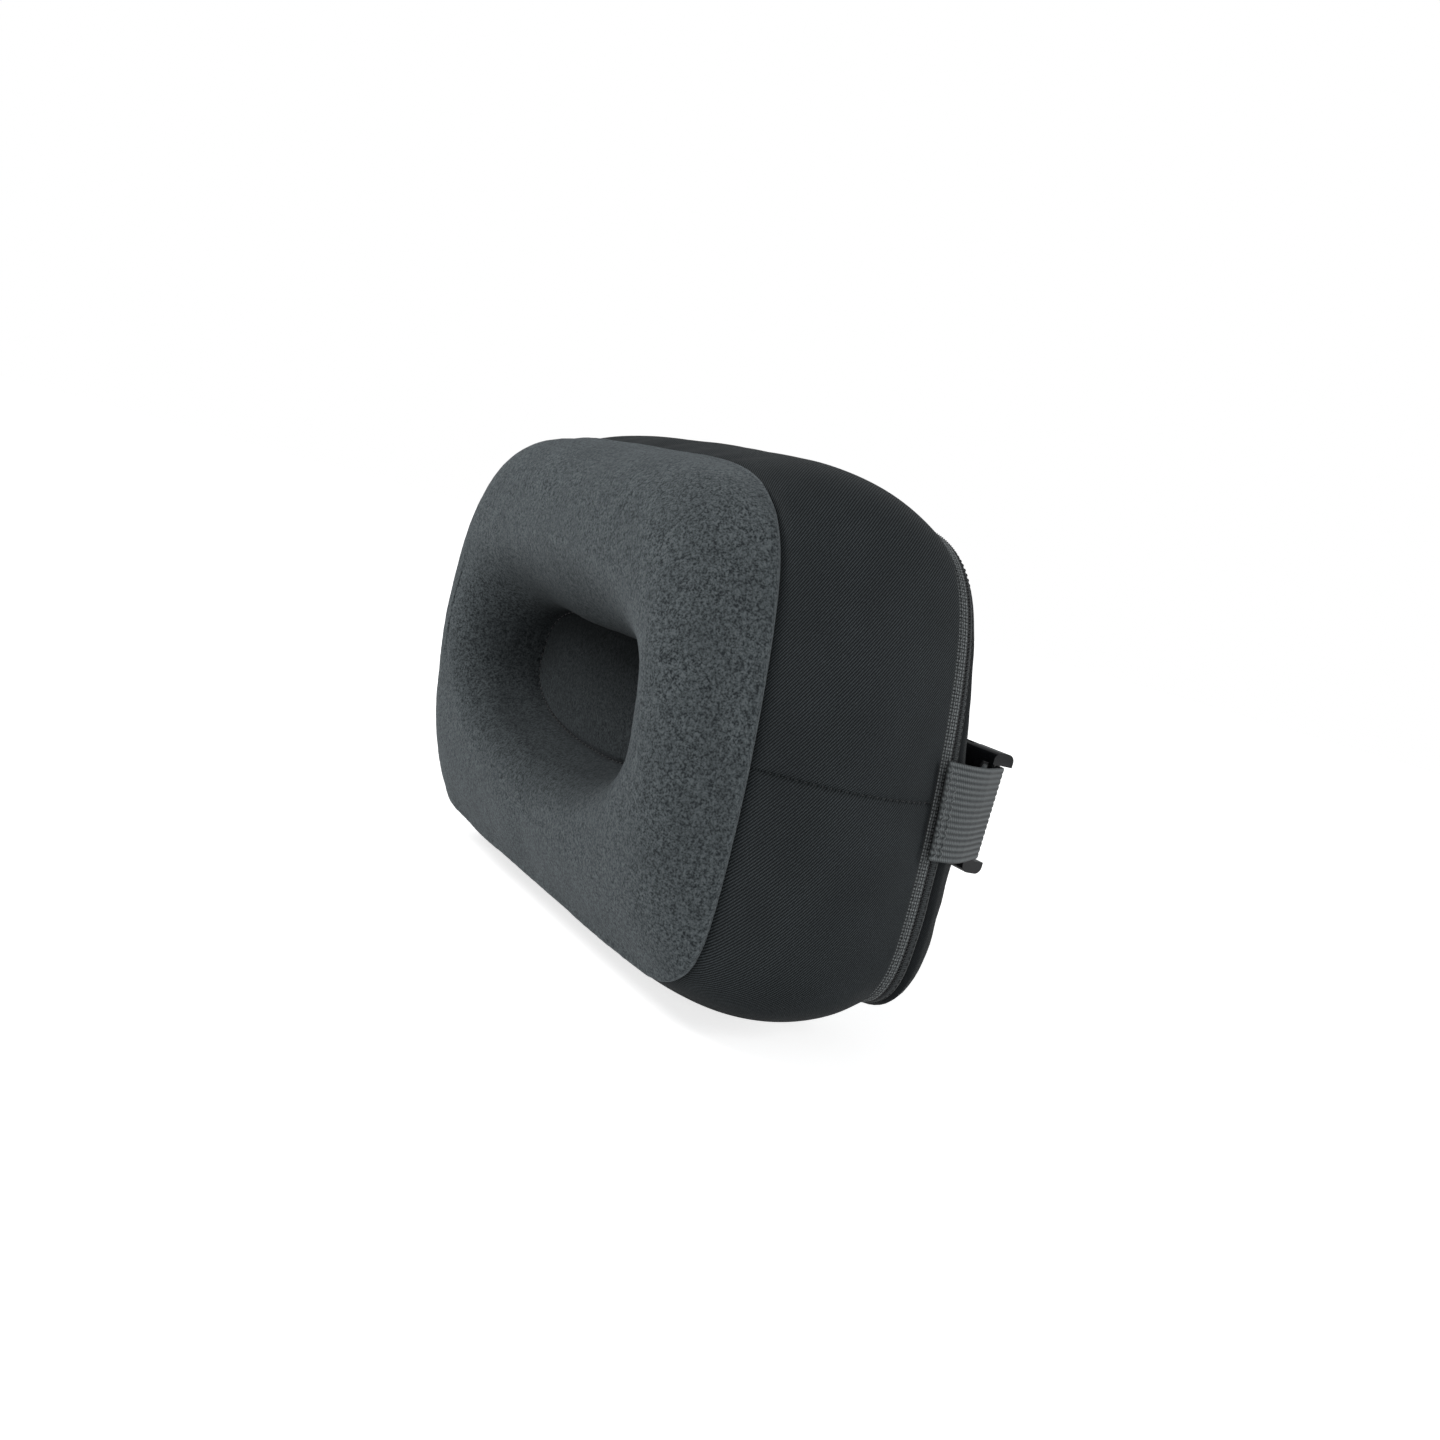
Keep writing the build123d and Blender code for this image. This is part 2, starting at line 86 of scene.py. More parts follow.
# ---- sizes read from the frame ----
MM = 0.001
TAPE_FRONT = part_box("zip_tape_front")
TAPE_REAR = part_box("zip_tape_rear")
CHAIN_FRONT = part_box("zip_chain_front")
CHAIN_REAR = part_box("zip_chain_rear")
SHORT_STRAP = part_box("short_strap")
LONG_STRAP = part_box("long_strap")

JOIN = 0.1 * MM                                         # half of the gap along a seam
WIDTH_TO_HEIGHT = 110.9 / 81.9                          # of the seam outline, before it tapers

SEAM_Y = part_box("upper_side_panel")[0].y - JOIN         # front seam plane
BAND_END = TAPE_FRONT[0].y                              # side band meets the zip tape
ZIP_LINE = (CHAIN_FRONT[1].y + CHAIN_REAR[0].y) / 2
REAR_START = TAPE_REAR[1].y
SIDE_SEAM_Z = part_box("upper_side_panel")[0].z - JOIN
HALF_HEIGHT = TAPE_REAR[1].z
HALF_WIDTH = HALF_HEIGHT * WIDTH_TO_HEIGHT
BELT_LOW, BELT_HIGH = SHORT_STRAP[0].z, SHORT_STRAP[1].z
BELT_WIDTH = BELT_HIGH - BELT_LOW
WEB = 1.5 * MM
ROOT_Y = SHORT_STRAP[0].y + 1.5 * MM
BEND_Y = -10 * MM                                        # where the webbing leaves the seam

# ---- shape of the cushion ----
TAPER, TAPER_CURVE = -0.11, -0.08
CORNER_TOP, CORNER_BOTTOM = 5.93, 8.43
CREST = (27.0 * MM, 11.0 * MM, -10.0 * MM)
CROWN_RUN, REAR_RUN, WALL_RUN = 26 * MM, 23 * MM, 27 * MM
FLOOR_DEPTH = 4 * MM
FLOOR_Z = -6 * MM
FLOOR_HALF_WIDTH, FLOOR_TOP, FLOOR_BOTTOM = 64 * MM, 24 * MM, 22 * MM
FLOOR_POWER_TOP, FLOOR_POWER_BOTTOM = 3.2, 2.3
SWELL, SWELL_ENDS = 7.0 * MM, 1.8 * MM
REAR_LEAN, REAR_SLOPE = 1.8 * MM, 38 * MM
COLUMN_STEP = 3.0 * MM


# ---- outline formulas ----
def gauge(x, z, grow):
    """Below 1 inside the seam outline grown by grow, above 1 outside it."""
    share = z / (HALF_HEIGHT + grow)
    power = np.where(z > 0, CORNER_TOP, CORNER_BOTTOM)
    clipped = np.clip(share, -1.3, 1.3)
    taper = 1 + TAPER * clipped + TAPER_CURVE * (clipped ** 2 - 0.5)
    return (np.abs(x) / ((HALF_WIDTH + grow) * taper)) ** power + np.abs(share) ** power


def bisect(is_inside, low, high):
    """Largest values between low and high for which is_inside holds, elementwise."""
    for _ in range(34):
        middle = (low + high) / 2
        inside = is_inside(middle)
        low, high = np.where(inside, middle, low), np.where(inside, high, middle)
    return low


def inset(x, z):
    """Distance in from the seam outline."""
    low = np.full(np.shape(x), -0.02)
    return bisect(lambda d: gauge(x, z, -d) < 1, low, low + HALF_HEIGHT + 0.018)


def recess_distance(x, z):
    """Distance out from the recess floor's edge, zero on the floor."""
    above = z > FLOOR_Z
    height = np.where(above, FLOOR_TOP, FLOOR_BOTTOM)
    power = np.where(above, FLOOR_POWER_TOP, FLOOR_POWER_BOTTOM)

    def outside(out):
        across = np.abs(x) / (FLOOR_HALF_WIDTH + out)
        return across ** power + (np.abs(z - FLOOR_Z) / (height + out)) ** power > 1

    zero = np.zeros(np.shape(x))
    return np.where(outside(zero), bisect(outside, zero, zero + 0.2), 0.0)


def resample(points, places):
    """Points at the given shares of a closed curve's length."""
    closed = np.vstack([points, points[:1]])
    lengths = np.r_[0, np.cumsum(np.linalg.norm(np.diff(closed, axis=0), axis=1))]
    lengths /= lengths[-1]
    return np.stack([np.interp(places, lengths, closed[:, k]) for k in (0, 1)], axis=1)


def turns(count):
    """Angles once round from the top, clockwise seen from the head side."""
    return math.pi / 2 - np.linspace(0, 2 * math.pi, count, endpoint=False)


def dense_outline():
    cosine, sine = np.cos(turns(2400)), np.sin(turns(2400))
    low = np.full(cosine.shape, 0.001)
    reach = bisect(lambda r: gauge(r * cosine, r * sine, 0) < 1, low, low + 0.2)
    return np.stack([reach * cosine, reach * sine], axis=1)


def dense_floor():
    cosine, sine = np.cos(turns(1600)), np.sin(turns(1600))
    power = np.where(sine > 0, FLOOR_POWER_TOP, FLOOR_POWER_BOTTOM)
    height = np.where(sine > 0, FLOOR_TOP, FLOOR_BOTTOM)
    across = (np.abs(cosine) / FLOOR_HALF_WIDTH) ** power
    reach = (across + (np.abs(sine) / height) ** power) ** (-1 / power)
    return np.stack([reach * cosine, FLOOR_Z + reach * sine], axis=1)


def column_places():
    """Even shares of the outline's length, with a column on each of the two side seams."""
    outline = dense_outline()
    steps = np.linalg.norm(np.diff(np.vstack([outline, outline[:1]]), axis=0), axis=1)
    total = steps.sum()
    length = np.cumsum(steps) - steps[0]
    off_seam = np.where(outline[:, 0] > 0, np.abs(outline[:, 1] - SIDE_SEAM_Z), 1)
    seam = length[np.argmin(off_seam)] / total
    above, below = round(seam * total / COLUMN_STEP), round((0.5 - seam) * total / COLUMN_STEP)
    half = np.r_[np.linspace(0, seam, above + 1), np.linspace(seam, 0.5, below + 1)[1:]]
    return np.r_[half, 1 - half[1:-1][::-1]], above


PLACES, RIGHT_SEAM = column_places()
COLUMNS = len(PLACES)
LEFT_SEAM = COLUMNS - RIGHT_SEAM
OUTLINE = resample(dense_outline(), PLACES)
FLOOR_EDGE = resample(dense_floor(), PLACES)


# ---- rings of the cushion, from the middle of the floor to the middle of the rear ----
def ring(flat, y):
    y = np.broadcast_to(y, (COLUMNS,))
    return np.stack([flat[:, 0], y, flat[:, 1]], axis=1)


def crest_height(z):
    share = z / HALF_HEIGHT
    return CREST[0] + CREST[1] * share + CREST[2] * share ** 2


def floor_rings():
    """The recess floor: slightly domed towards the head."""
    middle = np.array([0, FLOOR_Z])
    rings = []
    for share in np.linspace(0.05, 1, 14)[:-1]:
        dome = 2.0 * MM * (1 - share ** 2)
        rings.append(ring(middle + (FLOOR_EDGE - middle) * share, SEAM_Y + FLOOR_DEPTH - dome))
    return rings


def rim_ways(length):
    """Distances from floor edge to seam, close together at the foot and at the seam."""
    wall, crown = np.minimum(WALL_RUN, 0.5 * length), np.minimum(CROWN_RUN, 0.49 * length)
    foot = [wall * share ** 1.5 for share in np.linspace(0, 1, 17)]
    turn = [length - crown * (1 - math.sin(a)) for a in np.linspace(0, math.pi / 2, 15)]
    gap = turn[0] - foot[-1]
    middle = [foot[-1] + gap * share for share in np.linspace(0, 1, 8)[1:-1]]
    return foot + middle + turn


def rim_rings():
    """From the recess floor's edge up the wall, over the crest and down to the front seam."""
    across = OUTLINE - FLOOR_EDGE
    length = np.linalg.norm(across, axis=1)
    direction = across / length[:, None]
    overhang = (1.0 + 6.0 * np.clip(direction[:, 1], 0, 1)) * MM
    rings = []
    for way in rim_ways(length):
        flat = FLOOR_EDGE + direction * way[:, None]
        depth, out = inset(flat[:, 0], flat[:, 1]), recess_distance(flat[:, 0], flat[:, 1])
        run = np.clip(depth / CROWN_RUN, 0, 1)
        crown = crest_height(flat[:, 1]) * np.sqrt(1 - (1 - run) ** 2.2)
        hollow = (1 - np.clip(out / WALL_RUN, 0, 1)) ** 2.5
        rise = crown * (1 - hollow) - FLOOR_DEPTH * hollow
        lean = overhang * 4 * hollow * (1 - hollow)
        rings.append(ring(flat - direction * lean[:, None], SEAM_Y - rise))
    return rings


def outward():
    """Unit vectors pointing out of the outline, one for each column."""
    normal = OUTLINE / np.array([HALF_WIDTH ** 2, HALF_HEIGHT ** 2])
    return normal / np.linalg.norm(normal, axis=1)[:, None]


def band_ring(share):
    """One ring of the side band, share 0 at the front seam and 1 at the zip tape."""
    high = OUTLINE[:, 1] / HALF_HEIGHT
    swell = (SWELL + SWELL_ENDS * high ** 2) * 4 * share * (1 - share)
    return ring(OUTLINE + outward() * swell[:, None], SEAM_Y + share * (BAND_END - SEAM_Y))


def shrunk_outline(grow):
    """The outline grown by grow, matched column by column along lines to the middle."""
    x, z = OUTLINE[:, 0], OUTLINE[:, 1]
    low = np.full(COLUMNS, 0.3)
    scale = bisect(lambda s: gauge(s * x, s * z, grow) < 1, low, low + 1)
    return OUTLINE * scale[:, None]


def rear_slack():
    """0 where the rear edge stands out full, near the bottom, and 1 where it slopes away."""
    share = np.clip((OUTLINE[:, 1] + 30 * MM) / (95 * MM), 0, 1)
    return share * share * (3 - 2 * share)


def zip_ring(share):
    """From the zip line, share 0, to the rear cloth, share 1."""
    flat = shrunk_outline(-REAR_LEAN * share * rear_slack())
    return ring(flat, ZIP_LINE + (REAR_START - ZIP_LINE) * share)


def rear_rings():
    """Crowned chair side and its flat rest face."""
    rings, slack = [], rear_slack()
    for angle in np.linspace(0, math.pi / 2, 15)[1:]:
        full = REAR_RUN * (1 - math.cos(angle))
        sloped = REAR_LEAN + REAR_SLOPE * (1 - math.sqrt(1 - math.sin(angle)))
        flat = shrunk_outline(-(full + (sloped - full) * slack))
        rings.append(ring(flat, REAR_START * (1 - math.sin(angle))))
    edge = rings[-1][:, [0, 2]]
    rings += [ring(edge * share, 0.0) for share in np.linspace(1, 0.03, 18)[1:]]
    return rings


def cushion_rings():
    """All rings, and the row where each piece of the cover ends."""
    rings = floor_rings()
    rows = {"floor": len(rings)}
    rings += rim_rings()
    rows["seam"] = len(rings) - 1
    rings += [band_ring(share) for share in np.r_[0.02, np.linspace(0.055, 0.945, 22), 0.98, 1]]
    rows["band"] = len(rings) - 1
    rings += [ring(OUTLINE, BAND_END + (ZIP_LINE - BAND_END) * k / 3) for k in (1, 2, 3)]
    rows["zip"] = len(rings) - 1
    rings += [zip_ring(share) for share in (0.5, 1)]
    rows["rear"] = len(rings) - 1
    rings += rear_rings()
    return np.array(rings), rows


RINGS, ROW = cushion_rings()


# ---- grids ----
def refine(grid, step, closed):
    """Adds rows between the grid's rows by smooth interpolation, about step apart."""
    if closed:
        grid = np.concatenate([grid[-1:], grid, grid[:2]])
    else:
        grid = np.concatenate([2 * grid[:1] - grid[1:2], grid, 2 * grid[-1:] - grid[-2:-1]])
    gaps = np.linalg.norm(np.diff(grid[:, :, :3], axis=0), axis=2).mean(axis=1)
    gaps = np.maximum(gaps, 1e-6)[:, None, None]
    slopes = np.diff(grid, axis=0) / gaps
    tangents = (slopes[:-1] * gaps[1:] + slopes[1:] * gaps[:-1]) / (gaps[:-1] + gaps[1:])
    rows = []
    for i in range(1, len(grid) - 2):
        gap = gaps[i, 0, 0]
        start, end = grid[i], grid[i + 1]
        leave, arrive = tangents[i - 1] * gap, tangents[i] * gap
        for t in np.arange(max(1, round(gap / step))) / max(1, round(gap / step)):
            rows.append(
                start * (2 * t ** 3 - 3 * t ** 2 + 1) + leave * (t ** 3 - 2 * t ** 2 + t)
                + end * (3 * t ** 2 - 2 * t ** 3) + arrive * (t ** 3 - t ** 2)
            )
    if not closed:
        rows.append(grid[-2])
    return np.array(rows)


def refine_both(field, step, closed):
    """Refines points and their normals down the rows and round the columns, and splits them."""
    field = refine(field, step, False)
    field = refine(field.swapaxes(0, 1), step, closed).swapaxes(0, 1)
    normal = field[:, :, 3:]
    return field[:, :, :3], normal / np.linalg.norm(normal, axis=2)[:, :, None]


def normals(grid):
    """Outward unit normals of closed rings."""
    along = np.roll(grid, -1, axis=1) - np.roll(grid, 1, axis=1)
    across = np.gradient(grid, axis=0)
    normal = np.cross(along, across)
    return normal / np.maximum(np.linalg.norm(normal, axis=2), 1e-12)[:, :, None]


def edge_distances(grid):
    """Distance of every point from the grid's first and last row."""
    steps = np.linalg.norm(np.diff(grid, axis=0), axis=2)
    first = np.concatenate([np.zeros((1, grid.shape[1])), np.cumsum(steps, axis=0)])
    return first, first[-1] - first


def dip(distance, depth, reach):
    return depth * np.exp(-(distance / reach) ** 2)


def fine_noise(grid, size, seed):
    """Smooth noise over a grid's points, between about -1 and 1."""
    shift = Vector((seed * 7.3, seed * 3.1, seed * 5.7))
    points = grid.reshape(-1, 3) / size
    values = [noise.noise(Vector(p) + shift) for p in points]
    return np.array(values).reshape(grid.shape[:2])


# ---- mesh builders ----
def link_mesh(name, points, faces, body="cushion", finish=None, slot=None):
    mesh = bpy.data.meshes.new(name)
    mesh.from_pydata([tuple(p) for p in points], [], faces)
    mesh.update()
    mesh.shade_smooth()
    piece = bpy.data.objects.new(name, mesh)
    bpy.context.scene.collection.objects.link(piece)
    if finish:
        mesh.materials.append(finish)
    if body:
        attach(piece, body)
    return piece


def quads(rows, columns, closed, start=0, flip=False):
    """Face list of a grid whose first vertex is number start, and each corner's row, column."""
    faces, corners = [], []
    for r in range(rows - 1):
        for c in range(columns if closed else columns - 1):
            corner = [(r, c), (r, c + 1), (r + 1, c + 1), (r + 1, c)]
            corner = corner[::-1] if flip else corner
            faces.append([start + i * columns + j % columns for i, j in corner])
            corners.append(corner)
    return faces, corners


def bridge(faces, corners, outer, inner, places, closed):
    """Joins matching edges of two layers with a strip of quads."""
    count = len(outer)
    for k in range(count if closed else count - 1):
        n = (k + 1) % count
        faces.append([outer[k], inner[k], inner[n], outer[n]])
        near, far = places[k], places[k + 1] if k + 1 < count else places[k]
        corners.append([near, near, far, far])


def fan(faces, corners, hub, loop, row, flip):
    count = len(loop)
    for k in range(count):
        n = (k + 1) % count
        face = [hub, loop[k], loop[n]]
        corner = [(row, k), (row, k), (row, k + 1)]
        faces.append(face[::-1] if flip else face)
        corners.append(corner[::-1] if flip else corner)


def closed_form(name, grid, **look):
    """One closed mesh of a grid of rings, with a fan of triangles over each end."""
    rows, columns = grid.shape[:2]
    faces = quads(rows, columns, True)[0]
    points = list(grid.reshape(-1, 3)) + [grid[0].mean(axis=0), grid[-1].mean(axis=0)]
    last = (rows - 1) * columns
    fan(faces, [], rows * columns, list(range(columns)), 0, True)
    fan(faces, [], rows * columns + 1, list(range(last, last + columns)), 0, False)
    return link_mesh(name, points, faces, **look)


def shell(name, outer, inner, closed, caps=(False, False), **look):
    """A closed sheet of cloth between two matching grids, with UVs in metres."""
    rows, columns = outer.shape[:2]
    size = rows * columns
    points = [outer.reshape(-1, 3), inner.reshape(-1, 3)]
    faces, corners = quads(rows, columns, closed)
    more = quads(rows, columns, closed, size, True)
    faces, corners = faces + more[0], corners + more[1]
    for end, row in enumerate((0, rows - 1)):
        loop = [row * columns + c for c in range(columns)]
        lower = [size + i for i in loop]
        places = [(row, c) for c in range(columns)]
        if caps[end]:
            hub = 2 * size + 2 * (len(points) - 2)
            points.append(np.array([outer[row].mean(axis=0), inner[row].mean(axis=0)]))
            fan(faces, corners, hub, loop, row, end == 0)
            fan(faces, corners, hub + 1, lower, row, end == 1)
        elif end == 0:
            bridge(faces, corners, loop, lower, places, closed)
        else:
            bridge(faces, corners, loop[::-1], lower[::-1], places[::-1], closed)
    if not closed:
        for column in (0, columns - 1):
            side = [r * columns + column for r in range(rows)]
            places = [(r, column) for r in range(rows)]
            if column == 0:
                side, places = side[::-1], places[::-1]
            bridge(faces, corners, side, [size + i for i in side], places, False)
    piece = link_mesh(name, np.concatenate(points), faces, **look)
    around = np.linalg.norm(np.diff(outer, axis=1, append=outer[:, :1]), axis=2).mean(axis=0)
    u = np.r_[0, np.cumsum(around)]
    v = np.r_[0, np.cumsum(np.linalg.norm(np.diff(outer, axis=0), axis=2).mean(axis=1))]
    flat = np.array([place for corner in corners for place in corner])
    values = np.stack([u[np.minimum(flat[:, 1], len(u) - 1)], v[flat[:, 0]]], axis=1)
    piece.data.uv_layers.new(name="cloth").data.foreach_set("uv", values.ravel())
    return piece


# ---- cloth relaxation ----
SIM_FRAMES = 20
MAX_MOVE = 2.4 * MM
CLOTH = {
    "vertex_group_mass": "held", "quality": 6, "mass": 0.2, "shrink_min": -0.01,
    "tension_stiffness": 12, "compression_stiffness": 12, "shear_stiffness": 4,
    "bending_stiffness": 0.8, "use_pressure": True, "uniform_pressure_force": 4.0,
}


def pin_weights():
    """1 where the cover is sewn down or lies against the chair, 0 where it is free."""
    held = np.zeros(RINGS.shape[:2])
    held[:ROW["floor"] + 1] = 1
    held[ROW["seam"]] = 1
    held[ROW["band"]:ROW["rear"] + 1] = 1
    held[ROW["rear"] + 13:] = 1
    held[ROW["seam"]:ROW["band"], [RIGHT_SEAM, LEFT_SEAM]] = 1
    return held


def blurred(field, rounds):
    """The field averaged with its neighbours round the rings and across them."""
    for _ in range(rounds):
        field = (np.roll(field, 1, axis=1) + 2 * field + np.roll(field, -1, axis=1)) / 4
        inner = (field[:-2] + 2 * field[1:-1] + field[2:]) / 4
        field = np.concatenate([field[:1], inner, field[-1:]])
    return field


def settle():
    """Inflates the cover between its seams with Blender's cloth, and returns the new rings."""
    form = closed_form("cushion_form", RINGS, body=None)
    held = pin_weights().ravel()
    group = form.vertex_groups.new(name="held")
    for i in np.flatnonzero(held):
        group.add([int(i)], float(held[i]), "REPLACE")
    group.add([len(held), len(held) + 1], 1.0, "REPLACE")
    cloth = form.modifiers.new("cloth", "CLOTH")
    for key, value in CLOTH.items():
        setattr(cloth.settings, key, value)
    cloth.settings.effector_weights.gravity = 0
    cloth.collision_settings.use_collision = False
    cloth.point_cache.frame_start, cloth.point_cache.frame_end = 1, SIM_FRAMES
    for number in range(1, SIM_FRAMES + 1):
        bpy.context.scene.frame_set(number)
    settled = form.evaluated_get(bpy.context.evaluated_depsgraph_get()).to_mesh()
    points = np.zeros(len(settled.vertices) * 3)
    settled.vertices.foreach_get("co", points)
    bpy.data.objects.remove(form)
    bpy.context.scene.frame_set(1)
    move = points.reshape(-1, 3)[:len(held)].reshape(RINGS.shape) - RINGS
    reach = np.linalg.norm(move, axis=2)
    move *= (np.tanh(reach / MAX_MOVE) * MAX_MOVE / np.maximum(reach, 1e-9))[:, :, None]
    rim = slice(0, ROW["seam"] + 1)
    move[rim] = blurred(move[rim], 14)
    return RINGS + blurred(move, 2)


SKIN = settle()
NORMAL = normals(SKIN)
FIELD = np.concatenate([SKIN, NORMAL], axis=2)
UPPER = np.r_[LEFT_SEAM:COLUMNS, 0:RIGHT_SEAM + 1]
LOWER = np.arange(RIGHT_SEAM, LEFT_SEAM + 1)


# ---- materials ----
class Shader:
    """A Principled material with short calls for its nodes."""

    def __init__(self, name, color, roughness, **inputs):
        self.material = bpy.data.materials.new(name)
        self.material.use_nodes = True
        self.tree = self.material.node_tree
        self.surface = self.tree.nodes["Principled BSDF"]
        self.set("Base Color", (*color, 1))
        self.set("Roughness", roughness)
        for key, value in inputs.items():
            self.set(key.replace("_", " ").title(), value)
        self.material.diffuse_color = (*color, 1)

    def set(self, key, value):
        self.surface.inputs[key].default_value = value

    def link(self, source, target):
        self.tree.links.new(source, target)

    def node(self, kind, **values):
        made = self.tree.nodes.new("ShaderNode" + kind)
        for key, value in values.items():
            setattr(made, key, value)
        return made

    def place(self, name="Object"):
        return self.node("TexCoord").outputs[name]

    def noise(self, where, size, detail=2.0, stretch=None):
        """Noise whose features are about size metres across."""
        if stretch:
            mapping = self.node("Mapping")
            mapping.inputs["Scale"].default_value = stretch
            self.link(where, mapping.inputs["Vector"])
            where = mapping.outputs["Vector"]
        made = self.node("TexNoise")
        made.inputs["Scale"].default_value = 1 / size
        made.inputs["Detail"].default_value = detail
        self.link(where, made.inputs["Vector"])
        return made.outputs["Fac"]

    def math(self, operation, first, second=0.0):
        made = self.node("Math", operation=operation)
        for socket, value in zip(made.inputs, (first, second)):
            if isinstance(value, (int, float)):
                socket.default_value = value
            else:
                self.link(value, socket)
        return made.outputs[0]

    def plus(self, first, second):
        return self.math("ADD", first, second)

    def times(self, first, second):
        return self.math("MULTIPLY", first, second)

    def both(self, first, share, second, other):
        """One output times its share, plus another output times its own."""
        return self.plus(self.times(first, share), self.times(second, other))

    def wave(self, value, pitch, phase=0.0):
        """Sine of a distance, from 0 to 1, one turn each pitch metres."""
        angle = self.plus(self.times(value, 2 * math.pi / pitch), phase)
        return self.plus(self.times(self.math("SINE", angle), 0.5), 0.5)

    def axes(self, where):
        made = self.node("SeparateXYZ")
        self.link(where, made.inputs[0])
        return made.outputs

    def stretch(self, value, low, high, to_low=0.0, to_high=1.0):
        made = self.node("MapRange")
        bounds = {"From Min": low, "From Max": high, "To Min": to_low, "To Max": to_high}
        for key, bound in bounds.items():
            made.inputs[key].default_value = bound
        self.link(value, made.inputs["Value"])
        return made.outputs[0]

    def mix(self, amount, first, second):
        made = self.node("Mix", data_type="RGBA")
        self.link(amount, made.inputs[0])
        for socket, value in zip((made.inputs[6], made.inputs[7]), (first, second)):
            if isinstance(value, tuple):
                socket.default_value = (*value, 1)
            else:
                self.link(value, socket)
        return made.outputs[2]

    def color(self, output):
        self.link(output, self.surface.inputs["Base Color"])

    def bump(self, height, depth, strength=1.0):
        made = self.node("Bump")
        made.inputs["Distance"].default_value = depth
        made.inputs["Strength"].default_value = strength
        self.link(height, made.inputs["Height"])
        self.link(made.outputs[0], self.surface.inputs["Normal"])


def velour_finish(name, on_floor):
    """Short cut pile: mottled charcoal, with painted shade that darkens it down in the recess, where little
    light reaches.
    """
    shader = Shader(name, (0.03, 0.036, 0.04), 1.0, sheen_roughness=0.5)
    shader.set("Specular IOR Level", 0.1)
    shader.set("Sheen Tint", (0.75, 0.82, 0.86, 1))
    where = shader.place()
    fibre = shader.noise(where, 0.65 * MM)
    tuft = shader.noise(where, 1.35 * MM)
    patch = shader.noise(where, 16 * MM, 3)
    grain = shader.both(fibre, 0.6, tuft, 0.4)
    light = shader.stretch(grain, 0.38, 0.62)
    base = shader.mix(light, (0.018, 0.022, 0.0245), (0.14, 0.16, 0.168))
    even = shader.mix(shader.stretch(patch, 0.35, 0.7, 0, 0.3), base, (0.05, 0.058, 0.062))
    # Painted shade: colour and sheen fade to near black down the wall and over the recess floor, darkest
    # towards the top, under the lip.
    height = shader.axes(where)[2]
    light = shader.stretch(height, FLOOR_Z - FLOOR_BOTTOM, FLOOR_Z + FLOOR_TOP, 0.45, 0.08)
    if not on_floor:
        rise = shader.stretch(shader.axes(shader.place("UV"))[1], 0, 42 * MM)
        light = shader.math("MAXIMUM", light, rise)
    shader.color(shader.mix(light, (0.004, 0.005, 0.0055), even))
    shader.link(shader.times(light, 0.2), shader.surface.inputs["Sheen Weight"])
    shader.bump(grain, 0.5 * MM, 0.8)
    return shader.material


def twill_finish(name, dark, light, pitch, sheen):
    """Fine twill: diagonal ribs crossed by threads, with odd light flecks."""
    shader = Shader(name, dark, 0.72, sheen_weight=sheen, sheen_roughness=0.35)
    shader.set("Specular IOR Level", 0.2)
    where = shader.place("UV")
    along, across, _ = shader.axes(where)
    rib = shader.wave(shader.plus(along, shader.times(across, 1.25)), pitch)
    thread = shader.wave(shader.math("SUBTRACT", along, across), pitch * 0.62)
    weave = shader.times(rib, shader.plus(shader.times(thread, 0.45), 0.55))
    speck = shader.noise(where, 0.7 * MM)
    cloud = shader.noise(shader.place(), 22 * MM, 3)
    height = shader.both(weave, 0.7, speck, 0.5)
    base = shader.mix(shader.stretch(height, 0.3, 0.95), dark, light)
    shader.color(shader.mix(shader.stretch(cloud, 0.3, 0.75, 0, 0.3), base, dark))
    shader.bump(height, 0.22 * MM, 0.6)
    return shader.material


def tape_finish(name, dark, light, pitch):
    """Zip tape: tight herringbone that reads as grey specks."""
    shader = Shader(name, dark, 0.8, sheen_weight=0.15, sheen_roughness=0.4)
    where = shader.place("UV")
    along, across, _ = shader.axes(where)
    knit = shader.times(shader.wave(along, pitch), shader.wave(across, pitch * 0.8))
    speck = shader.noise(where, 0.6 * MM)
    height = shader.both(knit, 0.6, speck, 0.5)
    shader.color(shader.mix(shader.stretch(height, 0.2, 0.75), dark, light))
    shader.bump(height, 0.25 * MM, 0.8)
    return shader.material


def webbing_finish():
    """Ribbed polypropylene webbing: the picks of the weave cross each rib, and painted shade darkens the
    grooves between one rib and the next.
    """
    shader = Shader("webbing", (0.07, 0.08, 0.085), 0.6, sheen_weight=0.1)
    shader.set("Specular IOR Level", 0.4)
    where = shader.place("UV")
    along, across, _ = shader.axes(where)
    crest = shader.wave(across, BELT_WIDTH / 16, -math.pi / 2)
    pick = shader.wave(shader.plus(along, shader.times(across, 0.35)), 0.9 * MM)
    fleck = shader.noise(where, 0.5 * MM, 2, (0.5, 1.4, 1))
    height = shader.both(pick, 0.5, fleck, 0.6)
    # Painted shade: the colour drops to a quarter in the grooves between rib tops.
    picks, groove_shade = shader.stretch(height, 0.2, 0.9, 0.35), shader.stretch(crest, 0, 1, 0.25)
    tone = shader.times(picks, groove_shade)
    shader.color(shader.mix(tone, (0.012, 0.015, 0.017), (0.2, 0.22, 0.225)))
    shader.bump(height, 0.15 * MM, 0.6)
    return shader.material


def plastic_finish(name, color, roughness):
    """Moulded acetal: polished, with faint flow marks and hair scratches."""
    shader = Shader(name, color, roughness, coat_weight=0.35, coat_roughness=0.12)
    where = shader.place()
    flow = shader.noise(where, 6 * MM)
    hair = shader.noise(where, 0.9 * MM, 3, (1, 6, 0.6))
    worn = shader.stretch(hair, 0.3, 0.8, roughness * 0.8, roughness * 1.7)
    shader.link(worn, shader.surface.inputs["Roughness"])
    shader.color(shader.mix(flow, color, tuple(2.0 * c for c in color)))
    shader.bump(flow, 0.25 * MM, 0.35)
    return shader.material


